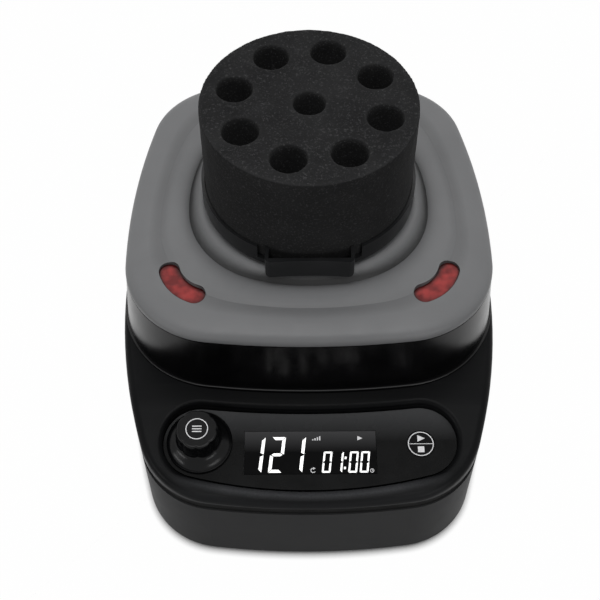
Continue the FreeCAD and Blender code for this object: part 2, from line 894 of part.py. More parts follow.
def deck_tool(name, drop):
    """Everything above the deck's slope, or above a plane that lies lower by a drop."""
    tool = doc.addObject("Part::Box", name)
    bind(tool, "Length", f"2 * {ROOMY}")
    bind(tool, "Width", ROOMY)
    bind(tool, "Height", ROOMY)
    turn(tool, X_AXIS, "deck_tilt")
    hinge_z = f"({RIDGE_Z} - ({drop}))"
    return place(
        tool,
        f"-{ROOMY}",
        f"{HINGE_Y} - {ROOMY} * cos(deck_tilt)",
        f"{hinge_z} - {ROOMY} * sin(deck_tilt)",
    )


def bean_tool(name, offset, low, height):
    body = new_body(name)
    bean_outline(sketch_in(body, f"{name}_plan", low), offset)
    pad(body, body.Group[0], height, f"{name}_block")
    return on_panel(body)


BEAN_FRONT = "(bean_front_bow - sqrt((bean_front_bow - bean_end) ^ 2 - (key_pitch / 2) ^ 2))"
LIP_HEIGHT = "(housing_height - deck_length * tan(deck_tilt))"
CREST_DROP = "(ridge_round * (cos(ridge_step) - cos(deck_tilt)))"
CREST_FRONT_Y = f"({HINGE_Y} - {CREST_DROP} / tan(deck_tilt))"
CREST_REAR_Y = f"({CREST_FRONT_Y} + ridge_round * (sin(deck_tilt) - sin(ridge_step)))"


def lip_fillet(body, deck):
    """Round the edges where the deck and its crest meet the outer wall."""
    doc.recompute()
    low = value(HOUSING_Z) + 1e-4
    rear = value(CREST_REAR_Y)
    edges = []
    for k, edge in enumerate(deck.Shape.Edges, start=1):
        ends = [v.Point for v in edge.Vertexes]
        across = abs(ends[0].y - ends[-1].y) < 1e-4 and abs(ends[0].z - ends[-1].z) < 1e-4
        level = edge.Curve.TypeId == "Part::GeomLine" and across
        if all(p.z > low and p.y < rear + 1e-4 for p in ends) and not level:
            upright = abs(ends[0].x - ends[-1].x) < 1e-4 and abs(ends[0].y - ends[-1].y) < 1e-4
            if not upright:
                edges.append(f"Edge{k}")
    feature = body.newObject("PartDesign::Fillet", "housing_lip")
    feature.Base = (deck, edges)
    bind(feature, "Radius", f"min(lip_round; lip_share * {LIP_HEIGHT} * tan(45 + deck_tilt / 2))")


def recess_fillet(body, recess):
    """Roll the deck's edge over into the panel's recess."""
    doc.recompute()
    side = value("key_pitch / 2 + bean_end") + 1e-4
    rear = value(f"{PANEL_Y} + bean_end") + 1e-4
    front = value(f"{PANEL_Y} - {BEAN_FRONT}") - 1e-4
    tilt = math.radians(value("panel_tilt"))
    floor = value(PANEL_Z) * math.cos(tilt) - value(PANEL_Y) * math.sin(tilt)
    edges = []
    for k, edge in enumerate(recess.Shape.Edges, start=1):
        ends = [v.Point for v in edge.Vertexes]
        inside = all(abs(p.x) < side and front < p.y < rear for p in ends)
        above = all(p.z * math.cos(tilt) - p.y * math.sin(tilt) > floor for p in ends)
        across = abs(ends[0].y - ends[-1].y) < 1e-4 and edge.Curve.TypeId == "Part::GeomLine"
        if inside and above and not across:
            edges.append(f"Edge{k}")
    feature = body.newObject("PartDesign::Fillet", "recess_edge")
    feature.Base = (recess, edges)
    bind(feature, "Radius", "recess_round")


def make_lower_housing():
    outside = new_body("housing_outside")
    plan = sketch_in(outside, "housing_plan", HOUSING_Z)
    lower_outline(plan)
    pad(outside, plan, "housing_height", "housing_block")
    section = sketch_in(outside, "deck_section", plane="YZ_Plane")
    front = f"{HINGE_Y} - {ROOMY}"
    low = f"{RIDGE_Z} - {ROOMY} * tan(deck_tilt)"
    crest = (CREST_FRONT_Y, f"{RIDGE_Z} - {CREST_DROP}", "ridge_round")
    profile(section, [(front, f"{RIDGE_Z} + {ROOMY}"), (CREST_REAR_Y, RIDGE_Z), crest, (front, low)])
    deck = pocket(outside, section, f"2 * {ROOMY}", "deck_slope")
    deck.SideType = "Symmetric"
    lip_fillet(outside, deck)
    recess_plan = outside.newObject("Sketcher::SketchObject", "recess_plan")
    bean_outline(on_panel(recess_plan, above="-panel_thickness"))
    recess = pocket(outside, recess_plan, "housing_height", "panel_recess", upwards=True)
    recess_fillet(outside, recess)

    inside = new_body("housing_inside")
    hollow = sketch_in(inside, "housing_hollow_plan", HOUSING_Z)
    lower_outline(hollow, "housing_wall")
    pad(inside, hollow, "housing_height - housing_wall", "housing_hollow")
    cavity = cut("housing_cavity", inside, [deck_tool("deck_under_plane", "housing_wall")])
    shell = cut("housing_shell", outside, [cavity])

    tub_low = "-panel_thickness - seat_ledge"
    tub = common("panel_tub", outside, bean_tool("tub_block", "tub_wall", tub_low, "housing_height"))
    bosses = []
    for k, (x, y) in enumerate(CASE_POSTS):
        bosses.append(
            cylinder(
                f"housing_boss_{k}",
                "post_radius",
                "housing_height - housing_wall / 2",
                x,
                y,
                HOUSING_Z,
            )
        )
    solids = fuse("housing_solids", [shell, tub, *bosses])

    through = bean_tool("panel_opening", "-seat_ledge", "-housing_height", "2 * housing_height")
    well = new_body("drum_well")
    well_plan = sketch_in(well, "drum_well_plan", HOUSING_Z)
    drum_outline(well_plan, "drum_ledge")
    pad(well, well_plan, "2 * housing_height", "drum_well_block")
    place(well, "0", AXIS_Y)
    holes = [
        cylinder(
            f"housing_hole_{k}", "screw_radius + fit_gap", "screw_bite + screw_radius", x, y, HOUSING_Z
        )
        for k, (x, y) in enumerate(CASE_POSTS)
    ]
    return cut("lower_housing", solids, [through, well, *holes])


def make_drum_band():
    body = new_body("drum_band")
    bead = sketch_in(body, "bead_plan", RIDGE_Z)
    drum_outline(bead, "-drum_flare - bead_reach")
    block = pad(body, bead, "bead_height", "bead_block")
    fillet(body, block, f"{RIDGE_Z} + bead_height", "bead_round", "bead_edge")
    foot = sketch_in(body, "drum_foot_plan", RIDGE_Z)
    drum_outline(foot, "-drum_flare")
    shoulder = sketch_in(body, "drum_shoulder_plan", f"{DRUM_TOP_Z} - seam_height")
    drum_outline(shoulder)
    loft(body, [foot, shoulder], "drum_block")
    seam = sketch_in(body, "drum_seam_plan", f"{DRUM_TOP_Z} - seam_height")
    drum_outline(seam, "seam_depth")
    pad(body, seam, "seam_height", "drum_seam")
    inner_foot = sketch_in(body, "drum_inner_foot", RIDGE_Z)
    drum_outline(inner_foot, "drum_wall - drum_flare")
    inner_top = sketch_in(body, "drum_inner_top", DRUM_TOP_Z)
    drum_outline(inner_top, "drum_wall")
    loft(body, [inner_foot, inner_top], "drum_hollow", hollow=True)
    return place(body, "0", AXIS_Y)


# Rippled cover with its lenses and lamp boards

RIPPLES = [
    ["edge", "rim_roll", "rim_crown", "outer_crease"],
    ["outer_crease", "outer_wave", "middle_crease"],
    ["middle_crease", "middle_wave", "inner_crease"],
    ["inner_crease", "hub_roll", "hub"],
]
UNDERSIDE = ["edge", "rim_crown", "middle_crease", "inner_crease", "hub"]
LENS_SIDES = {"left": -1, "right": 1}


def ripple_place(ring_name):
    """Inset and height of one ring of the cover."""
    if ring_name == "edge":
        return "0", EDGE_Z
    return f"{ring_name}_set", f"{EDGE_Z} + {ring_name}_rise"


def in_slot(thing, side):
    """Put a piece into a slot in the cover's left or right front corner, with its X outwards."""
    turn(thing, Z_AXIS, f"270 + {LENS_SIDES[side]} * slot_angle")
    return place(thing, f"{LENS_SIDES[side]} * {SLOT_X}", SLOT_Y)


def kidney_tool(name, side, width, low, height):
    body = new_body(name)
    kidney_outline(sketch_in(body, f"{name}_plan", low), width)
    pad(body, body.Group[0], height, f"{name}_block")
    return in_slot(body, side)


def make_top_cover():
    body = new_body("cover_shell")
    rings = {}
    for name in ["edge", *[r for wave in RIPPLES for r in wave[1:]]]:
        inset, level = ripple_place(name)
        rings[name] = sketch_in(body, f"{name}_ring", level)
        ripple_outline(rings[name], inset)
    pad(body, rings["edge"], "cover_edge", "cover_skirt", downwards=True)
    for k, wave in enumerate(RIPPLES):
        loft(body, [rings[name] for name in wave], f"cover_wave_{k}")
    mouth = sketch_in(body, "cover_mouth_plan", DRUM_TOP_Z)
    ripple_outline(mouth, "cover_wall")
    under = [mouth]
    for name in UNDERSIDE[1:]:
        inset, level = ripple_place(name)
        section = sketch_in(body, f"under_{name}_ring", f"{level} - cover_wall")
        ripple_outline(section, f"{inset} + cover_wall * (1 - ({inset}) / hub_set)")
        under.append(section)
    loft(body, under, "cover_hollow", hollow=True)
    place(body, "0", AXIS_Y)

    seats = [
        kidney_tool(
            f"{side}_lens_seat",
            side,
            "slot_width + 2 * lens_flange",
            LENS_SEAT_Z,
            "lens_seat_drop - cover_wall / 2",
        )
        for side in LENS_SIDES
    ]
    slots = [
        kidney_tool(f"{side}_slot", side, "slot_width", f"{EDGE_Z} - cover_wall", "2 * hub_rise")
        for side in LENS_SIDES
    ]
    opening = cylinder(
        "neck_opening",
        "neck_radius + orbit_radius + neck_clearance",
        "2 * hub_rise",
        "0",
        AXIS_Y,
        EDGE_Z,
    )
    return cut("top_cover", fuse("cover_solids", [body, *seats]), [*slots, opening])


def make_indicator_lens(side):
    flange_z = f"{LENS_SEAT_Z} - lens_flange_height"
    flange = kidney_tool(
        f"{side}_lens_flange",
        side,
        "slot_width + 2 * lens_flange - 2 * lens_gap",
        flange_z,
        "lens_flange_height",
    )
    plug = kidney_tool(
        f"{side}_lens_plug",
        side,
        "slot_width - 2 * lens_gap",
        flange_z,
        "lens_flange_height + lens_seat_drop - lens_depth",
    )
    return fuse(f"{side}_indicator_lens", [flange, plug])


def make_indicator_boards():
    boards = []
    for side in LENS_SIDES:
        body = new_body(f"{side}_lamp_board")
        plan = sketch_in(body, f"{side}_lamp_plan", f"{LENS_SEAT_Z} - lens_flange_height")
        wide = "lamp_board_width / 2"
        half = "lamp_board_length / 2"
        profile(plan, [(f"-{wide}", f"-{half}"), (wide, f"-{half}"), (wide, half), (f"-{wide}", half)])
        pad(body, plan, "board_thickness", f"{side}_lamp_block", downwards=True)
        boards.append(in_slot(body, side))
    return group("indicator_boards", boards)


# Control panel, display, board, knob and key, on the panel's slope

KNOB_X = "-key_pitch / 2"
KEY_X = "key_pitch / 2"
KEY_Y = "-key_shift"
BOARD_POSTS = [
    (f"{side} * board_post_x", along)
    for side in (-1, 1)
    for along in ("board_post_rear", "-board_post_front")
]


def make_control_panel():
    plate = new_body("panel_plate")
    plan = sketch_in(plate, "panel_plan", "-panel_thickness")
    bean_outline(plan, "-panel_groove")
    pad(plate, plan, "panel_thickness", "panel_block")
    posts = [
        cylinder(
            f"board_post_{k}",
            "board_post_radius",
            "board_drop - panel_thickness / 2",
            x,
            y,
            "-board_drop",
        )
        for k, (x, y) in enumerate(BOARD_POSTS)
    ]
    deep = "2 * panel_thickness"
    low = "-1.5 * panel_thickness"
    tools = [
        cylinder("knob_hole", "bush_radius + panel_gap", deep, KNOB_X, "0", low),
        cylinder("key_hole", "key_radius + key_gap", deep, KEY_X, KEY_Y, low),
        box(
            "display_opening",
            "display_width + 2 * panel_gap",
            "display_height + 2 * panel_gap",
            deep,
            "0",
            "-display_shift",
            low,
        ),
    ]
    return on_panel(cut("control_panel", fuse("panel_solids", [plate, *posts]), tools))


def make_display_window():
    return on_panel(
        box("display_window", "display_width", "display_height", "panel_thickness"),
        "-display_width / 2",
        "-display_shift - display_height / 2",
        "-panel_thickness",
    )


def make_display_module():
    length = "display_width + 2 * display_frame"
    width = "display_height + 2 * display_frame"
    return on_panel(
        box("display_module", length, width, "board_drop - panel_thickness"),
        f"-({length}) / 2",
        f"-display_shift - ({width}) / 2",
        "-board_drop",
    )


def make_control_board():
    return on_panel(
        box("control_board", "board_length", "board_width", "board_thickness"),
        "-board_length / 2",
        "-board_shift - board_width / 2",
        "-board_drop - board_thickness",
    )


ENCODER_TOP = "(encoder_height - board_drop)"
STEM_LOW = f"({ENCODER_TOP} - encoder_height / 2)"


def make_encoder_body():
    case = box("encoder_case", "encoder_size", "encoder_size", "encoder_height", KNOB_X, "0", "-board_drop")
    bush = cylinder("encoder_bush", "bush_radius", "bush_height", KNOB_X, "0", ENCODER_TOP)
    bore = cylinder(
        "encoder_bore", "stem_radius + stem_gap", "encoder_height + bush_height", KNOB_X, "0", STEM_LOW
    )
    room = "press_plate_height + 2 * knob_travel + stem_gap"
    chamber = cylinder(
        "press_chamber",
        "press_plate_radius + stem_gap",
        room,
        KNOB_X,
        "0",
        f"{STEM_LOW} - press_plate_height - knob_travel - stem_gap",
    )
    return on_panel(cut("encoder_body", fuse("encoder_solids", [case, bush]), [bore, chamber]))


def make_encoder_plunger():
    disc = cylinder("encoder_plunger", "press_plate_radius", "press_plate_height")
    return on_panel(disc, KNOB_X, "0", f"{STEM_LOW} - press_plate_height")


def make_encoder_shaft():
    stem = cylinder("encoder_shaft", "stem_radius", f"knob_lift + stem_bite - {STEM_LOW}")
    return on_panel(stem, KNOB_X, "0", STEM_LOW)


def make_control_knob():
    body = new_body("control_knob")
    section = sketch_in(body, "knob_section", plane="XZ_Plane")
    bore = "stem_radius + fit_gap"
    bore_top = "knob_lift + stem_bite + fit_gap"
    barrel_foot = "barrel_radius + barrel_draft"
    profile(
        section,
        [
            (bore, "knob_lift"),
            ("skirt_radius", "knob_lift"),
            ("skirt_radius", "knob_lift + skirt_edge"),
            (barrel_foot, "skirt_top", "skirt_round"),
            ("barrel_radius", "knob_height - knob_chamfer"),
            ("barrel_radius - knob_chamfer", "knob_height"),
            ("0", "knob_height"),
            ("0", bore_top),
            (bore, bore_top),
        ],
    )
    revolve(body, section, "knob_turned")
    lobe_plan = sketch_in(body, "lobe_plan", "knob_height")
    disc_outline(lobe_plan, "lobe_radius", "barrel_radius + lobe_radius - lobe_depth")
    scallop = pocket(body, lobe_plan, "knob_height - skirt_top", "lobe_scallop")
    polar(body, scallop, lobe_plan, "lobe_count", "lobes")
    return on_panel(body, KNOB_X)


KEY_FOOT = "(panel_thickness + stem_gap + key_travel / 2)"


def make_start_stop_key():
    cap = cylinder("key_cap", "key_radius", KEY_FOOT, KEY_X, KEY_Y, f"-{KEY_FOOT}")
    rim_z = f"-{KEY_FOOT} - key_flange_height"
    rim = cylinder("key_rim", "key_radius + key_flange", "key_flange_height", KEY_X, KEY_Y, rim_z)
    stem_z = f"{rim_z} - key_stem_length"
    stem = cylinder("key_stem", "key_stem_radius", "key_stem_length", KEY_X, KEY_Y, stem_z)
    return on_panel(fuse("start_stop_key", [cap, rim, stem]))


def make_start_stop_switch():
    case = box("tact_case", "tact_size", "tact_size", "tact_height", KEY_X, KEY_Y, "-board_drop")
    stem_z = f"-{KEY_FOOT} - key_flange_height - key_stem_length"
    reach = f"board_drop + {stem_z} - key_travel - panel_gap / 2"
    button = cylinder("tact_button", "key_stem_radius", reach, KEY_X, KEY_Y, "-board_drop")
    return on_panel(fuse("start_stop_switch", [case, button]))


# Orbiting head: foam block, dish, platform and its bearings


def make_foam_block():
    body = new_body("foam_block")
    disc = sketch_in(body, "foam_plan")
    disc_outline(disc, "foam_radius")
    pad(body, disc, "foam_height", "foam_disc")
    middle = sketch_in(body, "centre_hole_plan", "foam_height")
    disc_outline(middle, "centre_hole_radius")
    pocket(body, middle, "hole_depth", "centre_hole")
    outer = sketch_in(body, "tube_hole_plan", "foam_height")
    disc_outline(outer, "hole_radius", "hole_pitch_radius")
    hole = pocket(body, outer, "hole_depth", "tube_hole")
    polar(body, hole, outer, "8", "tube_holes")
    turn(body, Z_AXIS, "hole_phase")
    return place(body, "0", HEAD_Y, FOAM_Z)


def make_adapter_dish():
    body = new_body("dish_turned")
    section = sketch_in(body, "dish_section", plane="XZ_Plane")
    inner = "dish_radius - dish_wall"
    profile(
        section,
        [
            ("0", "0"),
            ("dish_radius", "0"),
            ("dish_radius", "dish_height"),
            (inner, "dish_height"),
            (inner, "dish_floor"),
            ("0", "dish_floor"),
        ],
    )
    revolve(body, section, "dish_bowl")
    place(body, "0", HEAD_Y, DISH_Z)
    notch_y = f"{HEAD_Y} - dish_radius"
    notch = box("dish_gap_tool", "dish_notch", "dish_radius", "dish_height", "0", notch_y, FOAM_Z)
    opened = cut("dish_opened", body, [notch])

    depth = "clip_reach - clip_root"
    clip_y = f"{HEAD_Y} - clip_reach + ({depth}) / 2"
    block = box("clip_block", "clip_width", depth, "clip_height", "0", clip_y, DISH_Z)
    doc.recompute()
    rounded = doc.addObject("Part::Fillet", "clip_rounded")
    rounded.Base = block
    front = value(f"{HEAD_Y} - clip_reach")
    radius = value("clip_round")
    rounded.Edges = [
        (k, radius, radius)
        for k, edge in enumerate(block.Shape.Edges, start=1)
        if all(abs(v.Y - front) < 1e-6 for v in edge.Vertexes)
        and abs(edge.Vertexes[0].X - edge.Vertexes[1].X) < 1e-6
    ]
    hollow = box(
        "clip_hollow",
        "clip_width - 2 * clip_wall",
        depth,
        "clip_height",
        "0",
        f"{clip_y} + clip_wall + clip_scoop_depth",
        FOAM_Z,
    )
    scoop = cylinder(
        "clip_scoop_tool",
        "clip_scoop",
        "2 * clip_height",
        "0",
        f"{HEAD_Y} - clip_reach - clip_scoop + clip_scoop_depth",
        f"{DISH_Z} - clip_height / 2",
    )
    clip = cut("dish_clip", rounded, [hollow, scoop])
    seat = cylinder("foam_seat", "foam_radius + panel_gap", ROOMY, "0", HEAD_Y, FOAM_Z)
    clear_clip = cut("dish_clip_clear", clip, [seat])
    sink = doc.addObject("Part::Cone", "dish_screw_sink")
    bind(sink, "Radius1", "dish_screw_radius + stem_gap")
    bind(sink, "Radius2", "dish_screw_head + stem_gap")
    bind(sink, "Height", "dish_floor")
    place(sink, "0", HEAD_Y, DISH_Z)
    return cut("adapter_dish", fuse("dish_solids", [opened, clear_clip]), [sink])


def make_dish_screw():
    head = doc.addObject("Part::Cone", "dish_screw_cone")
    bind(head, "Radius1", "dish_screw_radius")
    bind(head, "Radius2", "dish_screw_head")
    bind(head, "Height", "dish_floor - fit_gap")
    place(head, "0", HEAD_Y, DISH_Z)
    low = f"{DISH_Z} - dish_screw_length"
    shank = cylinder("dish_screw_shank", "dish_screw_radius", "dish_screw_length", "0", HEAD_Y, low)
    return fuse("dish_screw", [head, shank])


BEARING_Z = f"({FLANGE_Z} + bearing_rise)"
SOCKET_HEIGHT = "(bearing_rise + bearing_step + bearing_height + run_gap)"


def make_platform():
    flange = cylinder("platform_flange", "flange_radius", "flange_height", "0", HEAD_Y, FLANGE_Z)
    neck = cylinder("platform_neck", "neck_radius", "neck_height", "0", HEAD_Y, FLANGE_Z)
    socket_radius = "bearing_radius + fit_gap"
    socket = cylinder("platform_socket", socket_radius, SOCKET_HEIGHT, "0", HEAD_Y, FLANGE_Z)
    screw_depth = "dish_screw_length + fit_gap"
    tapped = cylinder(
        "platform_tapped",
        "dish_screw_radius + fit_gap",
        screw_depth,
        "0",
        HEAD_Y,
        f"{DISH_Z} - ({screw_depth})",
    )
    return cut("platform", fuse("platform_solids", [flange, neck]), [socket, tapped])


def make_head_bearing(name, step):
    inner = "pin_radius + run_gap"
    z = f"{BEARING_Z} + {step}"
    return ring(name, "bearing_radius", inner, "bearing_height", "0", HEAD_Y, z)


# Eccentric drive: shaft, hub, counterweight and pin

HUB_END_Z = f"({ROTOR_HUB_Z} + hub_height)"


def make_eccentric_hub():
    block = cylinder("hub_block", "hub_radius", "hub_height", "0", AXIS_Y, ROTOR_HUB_Z)
    shaft = cylinder("hub_shaft_hole", "shaft_radius + fit_gap", "hub_grip", "0", AXIS_Y, ROTOR_HUB_Z)
    pin_z = f"{HUB_END_Z} - hub_grip"
    pin = cylinder("hub_pin_hole", "pin_radius + fit_gap", "hub_grip", "0", HEAD_Y, pin_z)
    return cut("eccentric_hub", block, [shaft, pin])


def make_counterweight():
    z = f"{ROTOR_HUB_Z} + (hub_height - weight_height) / 2"
    disc = cylinder("weight_disc", "weight_radius", "weight_height", "0", AXIS_Y, z)
    bore = cylinder("weight_bore", "hub_radius + fit_gap", "weight_height", "0", AXIS_Y, z)
    span = "2 * weight_radius"
    front = box("weight_front", span, span, "weight_height", "0", f"{AXIS_Y} - weight_radius", z)
    return cut("counterweight", disc, [bore, front])


def make_eccentric_pin():
    z = f"{HUB_END_Z} - hub_grip"
    top = f"{BEARING_Z} + bearing_step + bearing_height"
    return cylinder("eccentric_pin", "pin_radius", f"{top} - ({z})", "0", HEAD_Y, z)


def make_motor_shaft():
    length = f"{ROTOR_HUB_Z} + hub_grip - {MOTOR_Z} - run_gap"
    return cylinder("motor_shaft", "shaft_radius", length, "0", AXIS_Y, f"{MOTOR_Z} + run_gap")


def make_motor_rotor():
    height = "motor_height - 2 * motor_end - 2 * core_gap"
    low = f"{MOTOR_Z} + motor_end + core_gap"
    return ring("motor_rotor", "core_radius", "shaft_radius + fit_gap", height, "0", AXIS_Y, low)


# Carriage: motor, plate and rubber posts, on guide pins and springs

MOTOR_SCREWS = [
    (f"{sx} * motor_screw_pitch / 2", f"{AXIS_Y} + {sy} * motor_screw_pitch / 2")
    for sx, sy in CORNERS
]


def make_motor_can():
    can = cylinder("motor_shell", "motor_radius", "motor_height", "0", AXIS_Y, MOTOR_Z)
    room_height = "motor_height - 2 * motor_end"
    room_z = f"{MOTOR_Z} + motor_end"
    seat_radius = "motor_bearing_radius + fit_gap"
    upper_z = f"{PLATE_Z} - motor_bearing_height"
    tools = [
        cylinder("motor_room", "motor_radius - motor_wall", room_height, "0", AXIS_Y, room_z),
        cylinder("motor_shaft_way", "shaft_radius + stem_gap", "motor_height", "0", AXIS_Y, MOTOR_Z),
        cylinder("motor_low_seat", seat_radius, "motor_bearing_height", "0", AXIS_Y, MOTOR_Z),
        cylinder("motor_high_seat", seat_radius, "motor_bearing_height", "0", AXIS_Y, upper_z),
    ]
    depth = "motor_screw_length - plate_thickness + fit_gap"
    for k, (x, y) in enumerate(MOTOR_SCREWS):
        radius = "screw_radius + fit_gap"
        tools.append(cylinder(f"motor_tapped_{k}", radius, depth, x, y, f"{PLATE_Z} - ({depth})"))
    return cut("motor_can", can, tools)


def make_motor_bearings():
    levels = {"low": MOTOR_Z, "high": f"{PLATE_Z} - motor_bearing_height"}
    rings = [
        ring(
            f"motor_{place_name}_bearing",
            "motor_bearing_radius",
            "shaft_radius + run_gap",
            "motor_bearing_height",
            "0",
            AXIS_Y,
            z,
        )
        for place_name, z in levels.items()
    ]
    return group("motor_bearings", rings)


def make_motor_screws():
    screws = []
    for k, (x, y) in enumerate(MOTOR_SCREWS):
        head = cylinder(f"motor_head_{k}", "screw_head_radius", "screw_radius", x, y, PLATE_TOP_Z)
        low = f"{PLATE_TOP_Z} - motor_screw_length"
        shank = cylinder(f"motor_shank_{k}", "screw_radius", "motor_screw_length", x, y, low)
        screws.append(fuse(f"motor_screw_{k}", [head, shank]))
    return group("motor_screws", screws)


def make_motor_plate():
    side = "guide_pitch + 2 * plate_margin"
    blank = box("plate_blank", side, side, "plate_thickness", "0", AXIS_Y, PLATE_Z)
    tools = [
        cylinder("plate_shaft_way", "motor_bearing_radius", "plate_thickness", "0", AXIS_Y, PLATE_Z)
    ]
    for k, (x, y) in enumerate(GUIDES):
        radius = "guide_radius + guide_gap"
        tools.append(cylinder(f"plate_guide_{k}", radius, "plate_thickness", x, y, PLATE_Z))
    for k, (x, y) in enumerate(MOTOR_SCREWS):
        radius = "screw_radius + fit_gap"
        tools.append(cylinder(f"plate_screw_{k}", radius, "plate_thickness", x, y, PLATE_Z))
    return cut("motor_plate", blank, tools)


def make_rubber_posts():
    posts = []
    for k, (sx, sy) in enumerate(CORNERS):
        x = f"{sx} * rubber_post_pitch / 2"
        y = f"{AXIS_Y} + {sy} * rubber_post_pitch / 2"
        posts.append(
            cylinder(
                f"rubber_post_{k}", "rubber_post_radius", "rubber_post_height", x, y, PLATE_TOP_Z
            )
        )
    return group("rubber_posts", posts)


def make_guide_pins():
    pins = []
    for k, (x, y) in enumerate(GUIDES):
        low = f"{GUIDE_BOSS_Z} - guide_bite"
        shank = cylinder(f"guide_shank_{k}", "guide_radius", f"{PLATE_TOP_Z} - ({low})", x, y, low)
        head = cylinder(
            f"guide_head_{k}", "guide_head_radius", "guide_head_height", x, y, PLATE_TOP_Z
        )
        pins.append(fuse(f"guide_pin_{k}", [shank, head]))
    return group("guide_pins", pins)


def make_press_springs():
    length = f"{PLATE_Z} - {GUIDE_BOSS_Z}"
    springs = [
        ring(
            f"press_spring_{k}",
            "spring_radius",
            "spring_radius - spring_wire",
            length,
            x,
            y,
            GUIDE_BOSS_Z,
        )
        for k, (x, y) in enumerate(GUIDES)
    ]
    return group("press_springs", springs)


def make_touch_switch_body():
    case = box(
        "touch_case", "touch_length", "touch_width", "touch_height", "touch_x", AXIS_Y, TOUCH_Z
    )
    depth = "touch_plunger_depth + press_travel + stem_gap"
    well = cylinder(
        "touch_well",
        "touch_plunger_radius + stem_gap",
        depth,
        "touch_x",
        AXIS_Y,
        f"{TOUCH_TOP_Z} - ({depth})",
    )
    return cut("touch_switch_body", case, [well])


def make_touch_switch_plunger():
    length = "touch_plunger_depth + touch_plunger_rise"
    z = f"{PLATE_Z} - ({length})"
    return cylinder("touch_switch_plunger", "touch_plunger_radius", length, "touch_x", AXIS_Y, z)


# Drive board and the connectors of the rear bay


def make_power_board():
    z = f"{BASE_FLOOR_Z} + drive_post_height"
    return box(
        "power_board",
        "drive_board_length",
        "drive_board_width",
        "board_thickness",
        "0",
        DRIVE_BOARD_Y,
        z,
    )


def make_dc_jack():
    x = "-inlet_x"
    case = box(
        "jack_case",
        "jack_size",
        "jack_length",
        "jack_size",
        x,
        f"{BAY_Y} - jack_length / 2",
        f"{BAY_MID_Z} - jack_size / 2",
    )
    face = "jack_size + 2 * jack_flange"
    flange = box(
        "jack_face",
        face,
        "jack_flange_height",
        face,
        x,
        f"{BAY_Y} + jack_flange_height / 2",
        f"{BAY_MID_Z} - ({face}) / 2",
    )
    mouth = f"{BAY_Y} + jack_flange_height"
    bore = inward("jack_bore_tool", "jack_bore", "jack_bore_depth", x, mouth, BAY_MID_Z)
    pin = inward("jack_pin_rod", "jack_pin", "jack_bore_depth", x, BAY_Y, BAY_MID_Z)
    shell = cut("jack_shell", fuse("jack_solids", [case, flange]), [bore])
    return fuse("dc_jack", [shell, pin])


PIVOT_Y = f"({BAY_Y} - rocker_sink)"


def across_switch(name, radius, length):
    """A cylinder along X, centred on the rocker's pivot."""
    rod = doc.addObject("Part::Cylinder", name)
    bind(rod, "Radius", radius)
    bind(rod, "Height", length)
    rod.Placement = FreeCAD.Placement(FreeCAD.Vector(), FreeCAD.Rotation(Y_AXIS, 90))
    return rod


def make_power_switch_body():
    case = box(
        "switch_case",
        "switch_length",
        "switch_depth",
        "switch_width",
        "inlet_x",
        f"{BAY_Y} - switch_depth / 2",
        f"{BAY_MID_Z} - switch_width / 2",
    )
    height = "switch_width + 2 * switch_bezel"
    bezel = box(
        "switch_face",
        "switch_length + 2 * switch_bezel",
        "switch_bezel_height",
        height,
        "inlet_x",
        f"{BAY_Y} + switch_bezel_height / 2",
        f"{BAY_MID_Z} - ({height}) / 2",
    )
    length = "rocker_length + 2 * rocker_gap"
    room = across_switch("rocker_room", "rocker_radius + rocker_gap", length)
    place(room, f"inlet_x - ({length}) / 2", PIVOT_Y, BAY_MID_Z)
    return cut("power_switch_body", fuse("switch_solids", [case, bezel]), [room])


def make_power_rocker():
    rod = across_switch("rocker_rod", "rocker_radius", "rocker_length")
    place(rod, "-rocker_length / 2")
    faces = []
    for side, lift in (("upper", 1), ("lower", -1)):
        face = doc.addObject("Part::Box", f"rocker_{side}_face")
        bind(face, "Length", "2 * rocker_length")
        bind(face, "Width", "2 * rocker_radius")
        bind(face, "Height", "2 * rocker_radius")
        low = 0 if lift > 0 else -2
        angle = f"{-lift} * rocker_face"
        turn(face, X_AXIS, angle)
        sunk = f"({low} * rocker_radius)"
        place(
            face,
            "-rocker_length",
            f"rocker_valley - {sunk} * sin({angle})",
            f"{sunk} * cos({angle})",
        )
        faces.append(face)
    rocker = cut("power_rocker", rod, faces)
    turn(rocker, X_AXIS, "rocker_rest")
    return place(rocker, "inlet_x", PIVOT_Y, BAY_MID_Z)


# Every piece, one node each

NODES = [
    make_base_casting(),
    make_base_seal(),
    make_rubber_feet(),
    make_case_screws(),
    make_lower_housing(),
    make_drum_band(),
    make_top_cover(),
    make_indicator_lens("left"),
    make_indicator_lens("right"),
    make_indicator_boards(),
    make_control_panel(),
    make_display_window(),
    make_display_module(),
    make_control_board(),
    make_encoder_body(),
    make_encoder_plunger(),
    make_encoder_shaft(),
    make_control_knob(),
    make_start_stop_key(),
    make_start_stop_switch(),
    make_foam_block(),
    make_adapter_dish(),
    make_dish_screw(),
    make_platform(),
    make_head_bearing("lower_head_bearing", "0"),
    make_head_bearing("upper_head_bearing", "bearing_step"),
    make_eccentric_hub(),
    make_counterweight(),
    make_eccentric_pin(),
    make_motor_shaft(),
    make_motor_rotor(),
    make_motor_can(),
    make_motor_bearings(),
    make_motor_screws(),
    make_motor_plate(),
    make_rubber_posts(),
    make_guide_pins(),
    make_press_springs(),
    make_touch_switch_body(),
    make_touch_switch_plunger(),
    make_power_board(),
    make_dc_jack(),
    make_power_switch_body(),
    make_power_rocker(),
]

doc.recompute()
for thing in doc.Objects:
    if "Invalid" in thing.State or "Error" in thing.State:
        raise RuntimeError(f"{thing.Label} failed to build: {thing.State}")
for node in NODES:
    if node.Shape.isNull() or not node.Shape.isValid():
        raise RuntimeError(f"{node.Label} has no valid shape")

os.makedirs("parts", exist_ok=True)
for node in NODES:
    node.Shape.exportStep(f"parts/{node.Label}.step")
